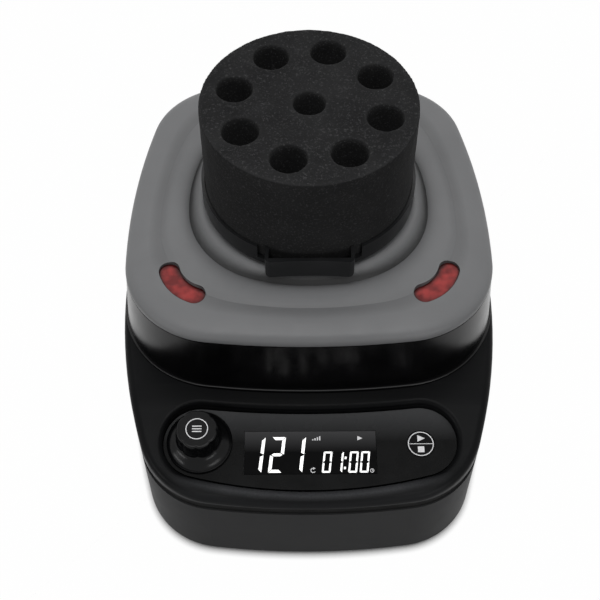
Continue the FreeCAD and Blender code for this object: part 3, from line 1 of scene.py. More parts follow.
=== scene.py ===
import math

import bmesh
import bpy
from mathutils import Matrix, Vector


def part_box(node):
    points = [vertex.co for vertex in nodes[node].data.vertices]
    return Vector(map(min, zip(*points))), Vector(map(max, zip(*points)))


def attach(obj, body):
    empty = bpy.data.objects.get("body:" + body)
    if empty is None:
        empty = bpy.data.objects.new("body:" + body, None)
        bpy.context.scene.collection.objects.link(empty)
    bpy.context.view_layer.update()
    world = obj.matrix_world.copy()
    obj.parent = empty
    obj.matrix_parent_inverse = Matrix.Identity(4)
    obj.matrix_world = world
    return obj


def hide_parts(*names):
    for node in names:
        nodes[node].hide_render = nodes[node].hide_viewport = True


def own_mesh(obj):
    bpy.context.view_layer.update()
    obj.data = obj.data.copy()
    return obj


# A benchtop vortex mixer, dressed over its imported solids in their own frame.
# Blender works in metres. Named sizes are in millimetres until MM turns them into metres.

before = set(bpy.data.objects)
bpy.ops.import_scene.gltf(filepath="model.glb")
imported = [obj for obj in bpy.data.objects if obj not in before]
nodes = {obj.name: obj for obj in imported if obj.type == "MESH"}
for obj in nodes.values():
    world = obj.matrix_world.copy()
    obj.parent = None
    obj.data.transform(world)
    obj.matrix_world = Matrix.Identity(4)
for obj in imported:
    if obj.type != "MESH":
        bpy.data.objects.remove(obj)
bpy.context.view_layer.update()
MM = 0.001

# The control panel's face: its slope, its middle, and places across and along it
PANEL_TILT = math.radians(7.0)
PANEL_ORIGIN = Vector((0.0, -83.8, 58.65)) * MM
KNOB_AT = Vector((-52.0, 0.0))
KEY_AT = Vector((52.0, -1.2))
KNOB_TOP = 17.0

# The bowed lip in front of the panel: how far forward its crest lies, and the radius of its bow
LIP_FRONT = 107.4
LIP_BOW = 260.0

# The height at which the cover's ripples begin, and the motor's axis seen from above
RIPPLE_Z = 109.2
HEAD_AXIS = (0.0, 27.0)


# Shader building blocks


def new_material(name):
    material = bpy.data.materials.new(name)
    material.use_nodes = True
    tree = material.node_tree
    return material, tree, tree.nodes["Principled BSDF"]


def layers_of(material):
    """A made material's tree, shader and colour, to lay more on it."""
    tree = material.node_tree
    shader = tree.nodes["Principled BSDF"]
    return tree, shader, shader.inputs["Base Color"].links[0].from_socket


def set_plain(shader, **settings):
    """Numbers that are the same all over the surface, set on the shader's own sockets."""
    for socket, setting in settings.items():
        shader.inputs[socket.replace("_", " ")].default_value = setting


def coordinates(tree, kind="Object"):
    return tree.nodes.new("ShaderNodeTexCoord").outputs[kind]


def parts_of(tree, kind):
    """The three parts of a place or a direction on the object."""
    split = tree.nodes.new("ShaderNodeSeparateXYZ")
    tree.links.new(coordinates(tree, kind), split.inputs["Vector"])
    return split.outputs


def object_noise(tree, size_mm, detail=3.0, roughness=0.55):
    """Noise in the object's own frame, with blobs of about the given size."""
    noise = tree.nodes.new("ShaderNodeTexNoise")
    noise.inputs["Scale"].default_value = 1.0 / (size_mm * MM)
    noise.inputs["Detail"].default_value = detail
    noise.inputs["Roughness"].default_value = roughness
    tree.links.new(coordinates(tree), noise.inputs["Vector"])
    return noise.outputs["Fac"]


def object_cells(tree, size_mm):
    """Cells in the object's own frame, as the distance from each cell's middle."""
    cells = tree.nodes.new("ShaderNodeTexVoronoi")
    cells.inputs["Scale"].default_value = 1.0 / (size_mm * MM)
    tree.links.new(coordinates(tree), cells.inputs["Vector"])
    return cells.outputs["Distance"]


def spread(tree, source, low, high, start=0.3, end=0.7):
    """The source's range from start to end, stretched to low and high."""
    node = tree.nodes.new("ShaderNodeMapRange")
    node.inputs["From Min"].default_value = start
    node.inputs["From Max"].default_value = end
    node.inputs["To Min"].default_value = low
    node.inputs["To Max"].default_value = high
    tree.links.new(source, node.inputs["Value"])
    return node.outputs["Result"]


def rising(tree, source, start_mm, end_mm, most=1.0):
    """From nothing to the most between two lengths."""
    return spread(tree, source, 0.0, most, start_mm * MM, end_mm * MM)


def falling(tree, source, start_mm, end_mm):
    """From one to nothing between two lengths."""
    return spread(tree, source, 1.0, 0.0, start_mm * MM, end_mm * MM)


def remainder(tree, share):
    """One less the share."""
    return spread(tree, share, 1.0, 0.0, 0.0, 1.0)


def calculated(tree, operation, *values):
    node = tree.nodes.new("ShaderNodeMath")
    node.operation = operation
    for socket, value in zip(node.inputs, values):
        tree.links.new(value, socket)
    return node.outputs["Value"]


def product(tree, first, second):
    return calculated(tree, "MULTIPLY", first, second)


def tone(tree, factor, dark, light):
    """A colour between two, by a factor."""
    node = tree.nodes.new("ShaderNodeMix")
    node.data_type = "RGBA"
    node.inputs["A"].default_value = (*dark, 1.0)
    node.inputs["B"].default_value = (*light, 1.0)
    tree.links.new(factor, node.inputs["Factor"])
    return node.outputs["Result"]


def overlaid(tree, below, colour, factor):
    """A plain colour laid over a finish, by a factor."""
    node = tree.nodes.new("ShaderNodeMix")
    node.data_type = "RGBA"
    node.inputs["B"].default_value = (*colour, 1.0)
    tree.links.new(factor, node.inputs["Factor"])
    tree.links.new(below, node.inputs["A"])
    return node.outputs["Result"]


def shaded(tree, colour, share):
    """The colour times a share."""
    node = tree.nodes.new("ShaderNodeMix")
    node.data_type = "RGBA"
    node.blend_type = "MULTIPLY"
    node.inputs["Factor"].default_value = 1.0
    tree.links.new(colour, node.inputs["A"])
    tree.links.new(share, node.inputs["B"])
    return node.outputs["Result"]


FOLD_SAMPLES = 32
FOLD_OPENNESS = (0.70, 0.985)


def with_painted_fold_shade(tree, colour, reach_mm, darkest, own=True):
    """The colour, darker in folds and slots with painted shade: the piece's own, or its neighbours' too."""
    fold_shade = tree.nodes.new("ShaderNodeAmbientOcclusion")
    fold_shade.only_local = own
    fold_shade.samples = FOLD_SAMPLES
    fold_shade.inputs["Distance"].default_value = reach_mm * MM
    return shaded(tree, colour, spread(tree, fold_shade.outputs["AO"], darkest, 1.0, *FOLD_OPENNESS))


def sharp_edges(tree, most, start, end):
    """A factor that grows from nothing to the most on edges that stick out."""
    geometry = tree.nodes.new("ShaderNodeNewGeometry")
    return spread(tree, geometry.outputs["Pointiness"], 0.0, most, start, end)


def reach_from(tree, x, y):
    """The distance, seen from above, from an upright line through a point given in millimetres."""
    level = tree.nodes.new("ShaderNodeVectorMath")
    level.operation = "MULTIPLY"
    level.inputs[1].default_value = (1.0, 1.0, 0.0)
    tree.links.new(coordinates(tree), level.inputs[0])
    away = tree.nodes.new("ShaderNodeVectorMath")
    away.operation = "DISTANCE"
    away.inputs[1].default_value = (x * MM, y * MM, 0.0)
    tree.links.new(level.outputs["Vector"], away.inputs[0])
    return away.outputs["Value"]


def painted_rear_reflection(tree, dark, light, start, end):
    """A painted reflection: a colour that fades from dark to light along the piece's depth, between two
    shares of it.
    """
    depth = parts_of(tree, "Generated")["Y"]
    return tone(tree, spread(tree, depth, 0.0, 1.0, start, end), dark, light)


def relief(tree, shader, height, strength, depth_mm, after=None):
    """Fine bumps, on top of an earlier set of bumps if one is given."""
    node = tree.nodes.new("ShaderNodeBump")
    node.inputs["Strength"].default_value = strength
    node.inputs["Distance"].default_value = depth_mm * MM
    tree.links.new(height, node.inputs["Height"])
    if after is not None:
        tree.links.new(after, node.inputs["Normal"])
    tree.links.new(node.outputs["Normal"], shader.inputs["Normal"])
    return node.outputs["Normal"]


def scaled(colour, share):
    return [part * share for part in colour]


# Finishes


PATCH_SIZE = 22.0
SMEAR_SIZE = 9.0
GRAIN_STRENGTH = 0.35
EDGE_POINTINESS = (0.53, 0.62)


def smears(tree, least, most):
    """Uneven gloss, between two values of roughness."""
    return spread(tree, object_noise(tree, SMEAR_SIZE, detail=5.0), least, most)


def grained(tree, shader, grain_mm, depth_mm):
    relief(tree, shader, object_noise(tree, grain_mm, detail=2.0), GRAIN_STRENGTH, depth_mm)


def moulded(
    name,
    colour,
    roughness,
    grain_mm,
    depth_mm,
    tint=0.1,
    worn=0.06,
    edge_wear_and_highlight=1.35,
    fold_shade=None,
    **sockets,
):
    """A moulded or painted finish: grain, uneven gloss, and paler edges: wear from handling, and where it is
    strong a painted highlight.

    tint is how far its patches differ, worn how far its gloss does, and edge_wear_and_highlight the edges'
    share of the colour.
    fold_shade, if given, is the reach in millimetres and the darkest share of the painted shade in its
    folds.
    """
    material, tree, shader = new_material(name)
    patches = spread(tree, object_noise(tree, PATCH_SIZE, detail=4.0), 0.0, 1.0)
    body = tone(tree, patches, scaled(colour, 1.0 - tint), scaled(colour, 1.0 + tint))
    body = overlaid(tree, body, scaled(colour, edge_wear_and_highlight), sharp_edges(tree, 1.0, *EDGE_POINTINESS))
    if fold_shade is not None:
        body = with_painted_fold_shade(tree, body, *fold_shade)
    tree.links.new(body, shader.inputs["Base Color"])
    tree.links.new(smears(tree, roughness - worn, roughness + worn), shader.inputs["Roughness"])
    grained(tree, shader, grain_mm, depth_mm)
    set_plain(shader, **sockets)
    return material


LINE_STRETCH = (1.0, 1.0, 40.0)
LINES_PER_METRE = 260.0
LINE_SHARE = 0.85


def metal(name, colour, roughness):
    """Turned or ground metal with fine lines along one direction."""
    material, tree, shader = new_material(name)
    mapping = tree.nodes.new("ShaderNodeMapping")
    mapping.inputs["Scale"].default_value = LINE_STRETCH
    tree.links.new(coordinates(tree), mapping.inputs["Vector"])
    noise = tree.nodes.new("ShaderNodeTexNoise")
    noise.inputs["Scale"].default_value = LINES_PER_METRE
    noise.inputs["Detail"].default_value = 4.0
    tree.links.new(mapping.outputs["Vector"], noise.inputs["Vector"])
    lines = noise.outputs["Fac"]
    body = tone(tree, spread(tree, lines, 0.0, 1.0), scaled(colour, LINE_SHARE), colour)
    tree.links.new(body, shader.inputs["Base Color"])
    tree.links.new(spread(tree, lines, roughness - 0.06, roughness + 0.08), shader.inputs["Roughness"])
    relief(tree, shader, lines, 0.2, 0.03)
    set_plain(shader, Metallic=1.0)
    return material


FOAM_DARK = (0.0135, 0.0136, 0.0141)
FOAM_LIGHT = (0.0235, 0.0236, 0.0242)
FOAM_FLECK = (0.085, 0.085, 0.087)
FOAM_RIM_HIGHLIGHT = (0.040, 0.040, 0.041)
FOAM_FLECK_SIZE = 1.0
FOAM_CLOUD_SIZE = 18.0
FOAM_CELL_SIZE = 0.9
FOAM_SKIN_AND_SIDE_SHADE = 0.62
FOAM_SKIN_AND_SIDE_SHADE_FROM = (45.0, 47.0)


def foam_material():
    """Closed-cell foam with paler flecks and a painted highlight on its rims: its outer side walls are
    darker, partly from a darker skin than the cut top and holes, partly from painted shade.
    """
    material, tree, shader = new_material("charcoal_foam")
    flecks = object_noise(tree, FOAM_FLECK_SIZE, roughness=0.75)
    clouds = object_noise(tree, FOAM_CLOUD_SIZE, detail=6.0, roughness=0.65)
    body = tone(tree, spread(tree, clouds, 0.0, 1.0), FOAM_DARK, FOAM_LIGHT)
    body = overlaid(tree, body, FOAM_FLECK, spread(tree, flecks, 0.0, 0.85, 0.55, 0.74))
    # A painted highlight on the sharp rims.
    body = overlaid(tree, body, FOAM_RIM_HIGHLIGHT, sharp_edges(tree, 0.7, 0.52, 0.60))
    # The outer side walls darker: partly a darker skin, partly painted shade.
    upright = spread(tree, parts_of(tree, "Normal")["Z"], 1.0, 0.0, 0.3, 0.7)
    outside = rising(tree, reach_from(tree, *HEAD_AXIS), *FOAM_SKIN_AND_SIDE_SHADE_FROM)
    skin = spread(tree, product(tree, upright, outside), 1.0, FOAM_SKIN_AND_SIDE_SHADE, 0.0, 1.0)
    tree.links.new(shaded(tree, body, skin), shader.inputs["Base Color"])
    set_plain(shader, Roughness=0.93, Specular_IOR_Level=0.05, Sheen_Weight=0.02, Sheen_Roughness=0.6)
    pits = relief(tree, shader, object_cells(tree, FOAM_CELL_SIZE), 0.45, 0.25)
    relief(tree, shader, flecks, 0.5, 0.18, pits)
    return material


LENS_DARK = (0.150, 0.014, 0.014)
LENS_LIGHT = (0.34, 0.036, 0.034)
LENS_BLOTCH_SIZE = 6.0
LENS_RIB_SIZE = 2.6
LENS_SLOT_SHADE = (3.0, 0.15)


def lens_material():
    """Clear red plastic over a ribbed reflector, in the shade of its slot."""
    material, tree, shader = new_material("red_lens")
    blotch = spread(tree, object_noise(tree, LENS_BLOTCH_SIZE, detail=1.5), 0.0, 1.0, 0.38, 0.62)
    body = with_painted_fold_shade(tree, tone(tree, blotch, LENS_DARK, LENS_LIGHT), *LENS_SLOT_SHADE, own=False)
    tree.links.new(body, shader.inputs["Base Color"])
    tree.links.new(body, shader.inputs["Emission Color"])
    set_plain(shader, Emission_Strength=0.08, Roughness=0.2, Specular_IOR_Level=0.10)
    set_plain(shader, Coat_Weight=0.08, Coat_Roughness=0.06)
    relief(tree, shader, object_cells(tree, LENS_RIB_SIZE), 0.5, 0.5)
    return material


INK_SIZE = 0.8
THIN_INK_SHARE = 0.86


def glowing(name, colour, strength):
    """Lit segments, and printed marks with a painted glow, with slightly uneven ink."""
    material, tree, shader = new_material(name)
    ink = spread(tree, object_noise(tree, INK_SIZE, detail=2.0), 0.0, 1.0)
    body = tone(tree, ink, scaled(colour, THIN_INK_SHARE), colour)
    tree.links.new(body, shader.inputs["Base Color"])
    tree.links.new(body, shader.inputs["Emission Color"])
    set_plain(shader, Emission_Strength=strength, Roughness=0.45)
    return material


FILM_DARK = (0.0012, 0.0013, 0.0014)
FILM_REAR_REFLECTION = (0.056, 0.057, 0.059)
FILM_FADE = (0.58, 1.02)


def film_material():
    """The panel's smoked film: a satin skin, with a painted reflection that makes it paler along its rear
    edge.
    """
    material, tree, shader = new_material("panel_film")
    body = painted_rear_reflection(tree, FILM_DARK, FILM_REAR_REFLECTION, *FILM_FADE)
    tree.links.new(body, shader.inputs["Base Color"])
    tree.links.new(smears(tree, 0.22, 0.32), shader.inputs["Roughness"])
    grained(tree, shader, grain_mm=0.35, depth_mm=0.015)
    set_plain(shader, Specular_IOR_Level=0.08)
    return material


WINDOW_DARK = (0.0008, 0.0008, 0.0010)
WINDOW_REAR_REFLECTION = (0.062, 0.062, 0.064)
WINDOW_FADE = (0.50, 1.05)


def window_material():
    """A dark display window, with a painted reflection that makes it paler towards its rear edge."""
    material, tree, shader = new_material("display_glass")
    body = painted_rear_reflection(tree, WINDOW_DARK, WINDOW_REAR_REFLECTION, *WINDOW_FADE)
    tree.links.new(body, shader.inputs["Base Color"])
    tree.links.new(spread(tree, object_noise(tree, 5.0), 0.16, 0.24), shader.inputs["Roughness"])
    relief(tree, shader, object_noise(tree, 1.5), 0.1, 0.02)
    set_plain(shader, Specular_IOR_Level=0.05)
    return material


RIPPLE_EDGE = (RIPPLE_Z, RIPPLE_Z + 0.1)
SLOPE_SHADE = 0.88
SLOPE_NORMAL = (0.72, 0.988)
FOOT_SHADE = 0.2
FOOT_EDGE = (RIPPLE_Z - 0.5, RIPPLE_Z - 0.05)
FRONT_SHARE = 0.78
FRONT_NORMAL = (-0.55, -0.02)


def cover_material():
    """Matt grey plastic: shade on the slopes of its ripples, at their foot and on its front rim."""
    material = moulded(
        "cover_plastic",
        (0.175, 0.177, 0.181),
        roughness=0.42,
        grain_mm=0.5,
        depth_mm=0.025,
        tint=0.035,
        edge_wear_and_highlight=1.02,
        # Painted shade in the creases of the ripples.
        fold_shade=(9.0, 0.3),
        Specular_IOR_Level=0.25,
    )
    tree, shader, body = layers_of(material)
    height = parts_of(tree, "Object")["Z"]
    normal = parts_of(tree, "Normal")
    steep = spread(tree, normal["Z"], SLOPE_SHADE, 0.0, *SLOPE_NORMAL)
    slopes = product(tree, steep, rising(tree, height, *RIPPLE_EDGE))
    near_foot = rising(tree, height, *FOOT_EDGE, most=FOOT_SHADE)
    foot = product(tree, near_foot, falling(tree, height, *RIPPLE_EDGE))
    front = spread(tree, normal["Y"], FRONT_SHARE, 1.0, *FRONT_NORMAL)
    for share in (remainder(tree, slopes), remainder(tree, foot), front):
        body = shaded(tree, body, share)
    tree.links.new(body, shader.inputs["Base Color"])
    return material


DECK_SIDE_LIGHT = (0.0062, 0.0064, 0.0068)
DECK_SIDE_LIGHT_FROM = (42.0, 74.0)
DECK_SKIRT_LIGHT = (0.0120, 0.0123, 0.0130)
DECK_SKIRT_LIGHT_FROM = (LIP_BOW + 4.5, LIP_BOW + 7.0)
LIP_SHEEN = (0.044, 0.045, 0.048)
LIP_INNER_EDGE = (LIP_BOW, LIP_BOW + 0.6)
LIP_OUTER_EDGE = (LIP_BOW + 3.0, LIP_BOW + 5.5)
LIP_ENDS = (40.0, 66.0)


def deck_material():
    """The housing's black plastic, with painted light that makes it greyer at its sides and skirt, and a
    painted sheen along the lip.
    """
    material = moulded(
        "deck_plastic",
        (0.0017, 0.0018, 0.0020),
        roughness=0.36,
        grain_mm=0.45,
        depth_mm=0.03,
        # Edges this much paler are mostly a painted highlight.
        edge_wear_and_highlight=5.0,
        Specular_IOR_Level=0.04,
    )
    tree, shader, body = layers_of(material)
    outward = reach_from(tree, 0.0, LIP_BOW - LIP_FRONT)
    sideways = calculated(tree, "ABSOLUTE", parts_of(tree, "Object")["X"])
    crest = product(tree, rising(tree, outward, *LIP_INNER_EDGE), falling(tree, outward, *LIP_OUTER_EDGE))
    grains = spread(tree, object_noise(tree, 0.9, roughness=0.7), 0.6, 1.0)
    # A painted sheen along the lip's crest, broken up by grain.
    painted_lip_sheen = product(tree, crest, product(tree, falling(tree, sideways, *LIP_ENDS), grains))
    # Painted light on the sides and the skirt.
    body = overlaid(tree, body, DECK_SIDE_LIGHT, rising(tree, sideways, *DECK_SIDE_LIGHT_FROM))
    body = overlaid(tree, body, DECK_SKIRT_LIGHT, rising(tree, outward, *DECK_SKIRT_LIGHT_FROM))
    body = overlaid(tree, body, LIP_SHEEN, painted_lip_sheen)
    tree.links.new(body, shader.inputs["Base Color"])
    return material


MATERIALS = {
    "base": moulded(
        "base_paint",
        (0.0190, 0.0192, 0.0197),
        roughness=0.46,
        grain_mm=0.6,
        depth_mm=0.05,
        tint=0.04,
        worn=0.02,
        Specular_IOR_Level=0.03,
    ),
    "seal": moulded(
        "seal_rubber",
        (0.002, 0.002, 0.002),
        roughness=0.75,
        grain_mm=0.4,
        depth_mm=0.05,
        Specular_IOR_Level=0.10,
    ),
    "deck": deck_material(),
    "band": moulded(
        "band_gloss",
        (0.0012, 0.0012, 0.0014),
        roughness=0.22,
        grain_mm=0.8,
        depth_mm=0.008,
        worn=0.04,
        Specular_IOR_Level=0.2,
    ),
    "cover": cover_material(),
    "panel": film_material(),
    "key": moulded(
        "key_film",
        (0.0016, 0.0017, 0.0019),
        roughness=0.26,
        grain_mm=0.35,
        depth_mm=0.015,
        Specular_IOR_Level=0.08,
    ),
    "knob": moulded(
        "knob_plastic",
        (0.0020, 0.0021, 0.0024),
        roughness=0.22,
        grain_mm=0.5,
        depth_mm=0.006,
        worn=0.03,
        Specular_IOR_Level=0.15,
    ),
    "dish": moulded(
        "dish_plastic",
        (0.0060, 0.0062, 0.0066),
        roughness=0.34,
        grain_mm=0.5,
        depth_mm=0.02,
        Specular_IOR_Level=0.22,
    ),
    "rubber": moulded("foot_rubber", (0.010, 0.010, 0.010), roughness=0.8, grain_mm=0.5, depth_mm=0.08),
    "switch": moulded("switch_plastic", (0.008, 0.008, 0.008), roughness=0.4, grain_mm=0.5, depth_mm=0.03),
    "board": moulded("board_green", (0.015, 0.075, 0.032), roughness=0.45, grain_mm=1.2, depth_mm=0.05),
    "module": moulded("module_plastic", (0.02, 0.02, 0.02), roughness=0.55, grain_mm=0.6, depth_mm=0.03),
    "steel": metal("ground_steel", (0.56, 0.56, 0.57), roughness=0.32),
    "aluminium": metal("machined_aluminium", (0.62, 0.62, 0.63), roughness=0.36),
    "brass": metal("machined_brass", (0.60, 0.44, 0.18), roughness=0.34),
    "iron": metal("core_iron", (0.16, 0.16, 0.17), roughness=0.5),
    "lens": lens_material(),
    "window": window_material(),
    "foam": foam_material(),
    "segments": glowing("lit_segments", (0.93, 0.93, 0.92), strength=0.75),
    # Printed marks that glow a little: a painted glow, as print is no lamp.
    "print": glowing("printed_marks_glowing", (0.62, 0.62, 0.63), strength=0.22),
}

FINISHES = {
    "base": ["base_casting"],
    "seal": ["base_seal", "rubber_posts"],
    "deck": ["lower_housing"],
    "band": ["drum_band"],
    "cover": ["top_cover"],
    "lens": ["left_indicator_lens", "right_indicator_lens"],
    "panel": ["control_panel"],
    "window": ["display_window"],
    "knob": ["control_knob"],
    "key": ["start_stop_key"],
    "dish": ["adapter_dish"],
    "foam": ["foam_block"],
    "rubber": ["rubber_feet"],
    "board": ["indicator_boards", "control_board", "power_board"],
    "module": ["display_module", "encoder_body"],
    "switch": [
        "start_stop_switch",
        "touch_switch_body",
        "touch_switch_plunger",
        "dc_jack",
        "power_switch_body",
        "power_rocker",
    ],
    "aluminium": ["motor_plate", "eccentric_hub", "platform"],
    "brass": ["counterweight"],
    "iron": ["motor_rotor"],
    "steel": [
        "encoder_plunger",
        "encoder_shaft",
        "case_screws",
        "guide_pins",
        "press_springs",
        "motor_can",
        "motor_bearings",
        "motor_screws",
        "motor_shaft",
        "eccentric_pin",
        "lower_head_bearing",
        "upper_head_bearing",
        "dish_screw",
    ],
}


def dress_nodes():
    for finish, names in FINISHES.items():
        for name in names:
            node = nodes[name]
            if not node.material_slots:
                node.data.materials.append(None)
            for material_slot in node.material_slots:
                material_slot.material = MATERIALS[finish]


dress_nodes()


# Making new pieces


def add_object(name, data):
    thing = bpy.data.objects.new(name, data)
    bpy.context.scene.collection.objects.link(thing)
    return thing


def to_piece(name, shape, finish):
    """A drawn shape as a new piece, its faces turned outward, in one finish."""
    bmesh.ops.recalc_face_normals(shape, faces=shape.faces)
    mesh = bpy.data.meshes.new(name)
    shape.to_mesh(mesh)
    shape.free()
    mesh.materials.append(MATERIALS[finish])
    return add_object(name, mesh)


def skin(shape, rings):
    """Smooth faces from each closed ring of corners to the next, and a flat cap at both ends."""
    count = len(rings[0])
    for before, after in zip(rings, rings[1:]):
        for k in range(count):
            beside = (k + 1) % count
            face = shape.faces.new([before[k], before[beside], after[beside], after[k]])
            face.smooth = True
    shape.faces.new(rings[0])
    shape.faces.new(rings[-1])


def panel_matrix(lift_mm=0.0):
    """From millimetres across and along the panel, at a height above it, to the part's frame."""
    turned = Matrix.Rotation(PANEL_TILT, 4, "X")
    lifted = Matrix.Translation(Vector((0.0, 0.0, lift_mm * MM)))
    return Matrix.Translation(PANEL_ORIGIN) @ turned @ lifted @ Matrix.Scale(MM, 4)


# Flat marks on the control panel, the knob and the key


MARK_THICKNESS = 0.05
WINDOW_LIFT = 0.03
PRINT_LIFT = 0.02


def mark(name, outlines, lift_mm, finish, body):
    """Flat closed outlines, given in millimetres on the panel, as one thin piece."""
    shape = bmesh.new()
    for outline in outlines:
        face = shape.faces.new([shape.verts.new((x, y, 0.0)) for x, y in outline])
        grown = bmesh.ops.extrude_face_region(shape, geom=[face])
        raised = [v for v in grown["geom"] if isinstance(v, bmesh.types.BMVert)]
        bmesh.ops.translate(shape, verts=raised, vec=(0.0, 0.0, MARK_THICKNESS))
    piece = to_piece(name, shape, finish)
    piece.data.transform(panel_matrix(lift_mm))
    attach(piece, body)


def moved(outline, place):
    return [tuple(Vector(point) + Vector(place)) for point in outline]


def circle_points(centre, radius, start, end, count):
    """Points along a circle, from a start to an end angle in degrees."""
    angles = [math.radians(start + (end - start) * k / count) for k in range(count + 1)]
    return [(centre[0] + radius * math.cos(a), centre[1] + radius * math.sin(a)) for a in angles]


def band_outlines(centre, radius, width, start=0.0, end=360.0, count=48):
    """A ring or an arc of a given width, as short quads."""
    outer = circle_points(centre, radius + width / 2, start, end, count)
    inner = circle_points(centre, radius - width / 2, start, end, count)
    return [[inner[k], outer[k], outer[k + 1], inner[k + 1]] for k in range(count)]


def bar(start, end, width):
    """A straight stroke."""
    a = Vector(start)
    b = Vector(end)
    run = b - a
    side = Vector((-run.y, run.x)).normalized() * width / 2
    return [tuple(a - side), tuple(b - side), tuple(b + side), tuple(a + side)]


SEGMENTS = {"0": "abcdef", "1": "bc", "2": "abged"}
SLANT = 0.115
SPEED_SIZES = {"low": -15.2, "width": 6.5, "height": 17.8, "stroke": 1.6, "gap": 0.25}
SPEED_LEFT = -29.4
SPEED_PITCH = 9.5
TIME_SIZES = {"low": -15.3, "width": 4.15, "height": 10.5, "stroke": 0.95, "gap": 0.18}
TIME_LEFTS = (5.1, 10.45, 17.4, 22.7)
COLON_AT = ((15.95, -13.0), (16.4, -8.0))
COLON_DOT = [(-0.5, -0.6), (0.42, -0.6), (0.56, 0.6), (-0.36, 0.6)]


def segment_outlines(width, height, stroke):
    """The seven strokes of an upright digit, with mitred ends."""
    half = height / 2
    t = stroke
    tip = t / 4
    return {
        "a": [(0, height), (width, height), (width - t, height - t), (t, height - t)],
        "d": [(0, 0), (t, t), (width - t, t), (width, 0)],
        "g": [
            (tip, half),
            (t, half + t / 2),
            (width - t, half + t / 2),
            (width - tip, half),
            (width - t, half - t / 2),
            (t, half - t / 2),
        ],
        "f": [(0, height), (t, height - t), (t, half + t / 2), (0, half)],
        "b": [(width, height), (width, half), (width - t, half + t / 2), (width - t, height - t)],
        "e": [(0, 0), (0, half), (t, half - t / 2), (t, t)],
        "c": [(width, 0), (width - t, t), (width - t, half - t / 2), (width, half)],
    }


def digit(character, left, low, width, height, stroke, gap):
    """The lit strokes of a digit, drawn in by a gap at their ends and leaning to the right."""
    outlines = segment_outlines(width, height, stroke)
    strokes = []
    for segment in SEGMENTS[character]:
        points = [Vector(p) for p in outlines[segment]]
        middle = sum(points, Vector((0.0, 0.0))) / len(points)
        reach = max((p - middle).length for p in points)
        near = [middle + (p - middle) * (1.0 - gap / reach) for p in points]
        strokes.append([(left + p.x + SLANT * p.y, low + p.y) for p in near])
    return strokes


def make_readouts():
    speed = []
    for k, character in enumerate("121"):
        speed += digit(character, SPEED_LEFT + SPEED_PITCH * k, **SPEED_SIZES)
    mark("speed_readout", speed, WINDOW_LIFT, "segments", "housing")
    time = []
    for left, character in zip(TIME_LEFTS, "0100"):
        time += digit(character, left, **TIME_SIZES)
    time += [moved(COLON_DOT, place) for place in COLON_AT]
    mark("time_readout", time, WINDOW_LIFT, "segments", "housing")


# Small plain symbols beside the readouts: rising bars, a running arrow, a turning arrow and a clock
RISE_AT = (1.2, 0.8)
RISE_PITCH = 1.1
RISE_HEIGHTS = (0.6, 1.1, 1.6, 2.1)
RISE_WIDTH = 0.6
RUN_ARROW = [(22.2, 0.7), (24.6, 1.8), (22.2, 2.9)]
TURN_AT = (1.2, -14.1)
TURN_RADIUS = 1.05
TURN_WIDTH = 0.35
TURN_ANGLES = (60, 330)
TURN_ARROW = [(1.2, -12.4), (2.3, -13.1), (1.2, -13.8)]
CLOCK_AT = (28.6, -14.3)
CLOCK_RADIUS = 0.85
CLOCK_WIDTH = 0.28
CLOCK_HANDS = [(28.6, -13.7), (29.05, -14.3)]
HAND_WIDTH = 0.24
SMALL_RING_STEPS = 20


def make_symbols():
    symbols = []
    for k, height in enumerate(RISE_HEIGHTS):
        x = RISE_AT[0] + RISE_PITCH * k
        symbols.append(bar((x, RISE_AT[1]), (x, RISE_AT[1] + height), RISE_WIDTH))
    symbols.append(RUN_ARROW)
    symbols += band_outlines(TURN_AT, TURN_RADIUS, TURN_WIDTH, *TURN_ANGLES, SMALL_RING_STEPS)
    symbols.append(TURN_ARROW)
    symbols += band_outlines(CLOCK_AT, CLOCK_RADIUS, CLOCK_WIDTH, count=SMALL_RING_STEPS)
    symbols += [bar(CLOCK_AT, tip, HAND_WIDTH) for tip in CLOCK_HANDS]
    mark("readout_symbols", symbols, WINDOW_LIFT, "print", "housing")


# A ring with three bars on the knob, and a ring with a triangle over a square on the key
RING_WIDTH = 0.42
KNOB_RING = 4.95
KNOB_BAR_ROWS = (1.3, 0.0, -1.3)
KNOB_BAR_HALF = 2.2
KNOB_BAR_WIDTH = 0.5
KEY_RING = 5.85
KEY_BAR_HALF = 5.65
KEY_BAR_WIDTH = 0.3
KEY_TRIANGLE = [(-1.5, 1.1), (2.0, 2.75), (-1.5, 4.4)]
KEY_SQUARE = [(-1.5, -4.2), (1.5, -4.2), (1.5, -1.3), (-1.5, -1.3)]


def level_bar(row, half, width):
    return bar((-half, row), (half, row), width)


def make_knob_marks():
    outlines = band_outlines(KNOB_AT, KNOB_RING, RING_WIDTH)
    for row in KNOB_BAR_ROWS:
        outlines.append(moved(level_bar(row, KNOB_BAR_HALF, KNOB_BAR_WIDTH), KNOB_AT))
    mark("knob_marks", outlines, KNOB_TOP + PRINT_LIFT, "print", "speed_knob")


def make_key_marks():
    outlines = band_outlines(KEY_AT, KEY_RING, RING_WIDTH)
    for sign in (level_bar(0.0, KEY_BAR_HALF, KEY_BAR_WIDTH), KEY_TRIANGLE, KEY_SQUARE):
        outlines.append(moved(sign, KEY_AT))
    mark("key_marks", outlines, PRINT_LIFT, "print", "start_key")


make_readouts()
make_symbols()
make_knob_marks()
make_key_marks()


# The knob: a fluted barrel that flares into a round skirt, as radius and height from its bore to its top


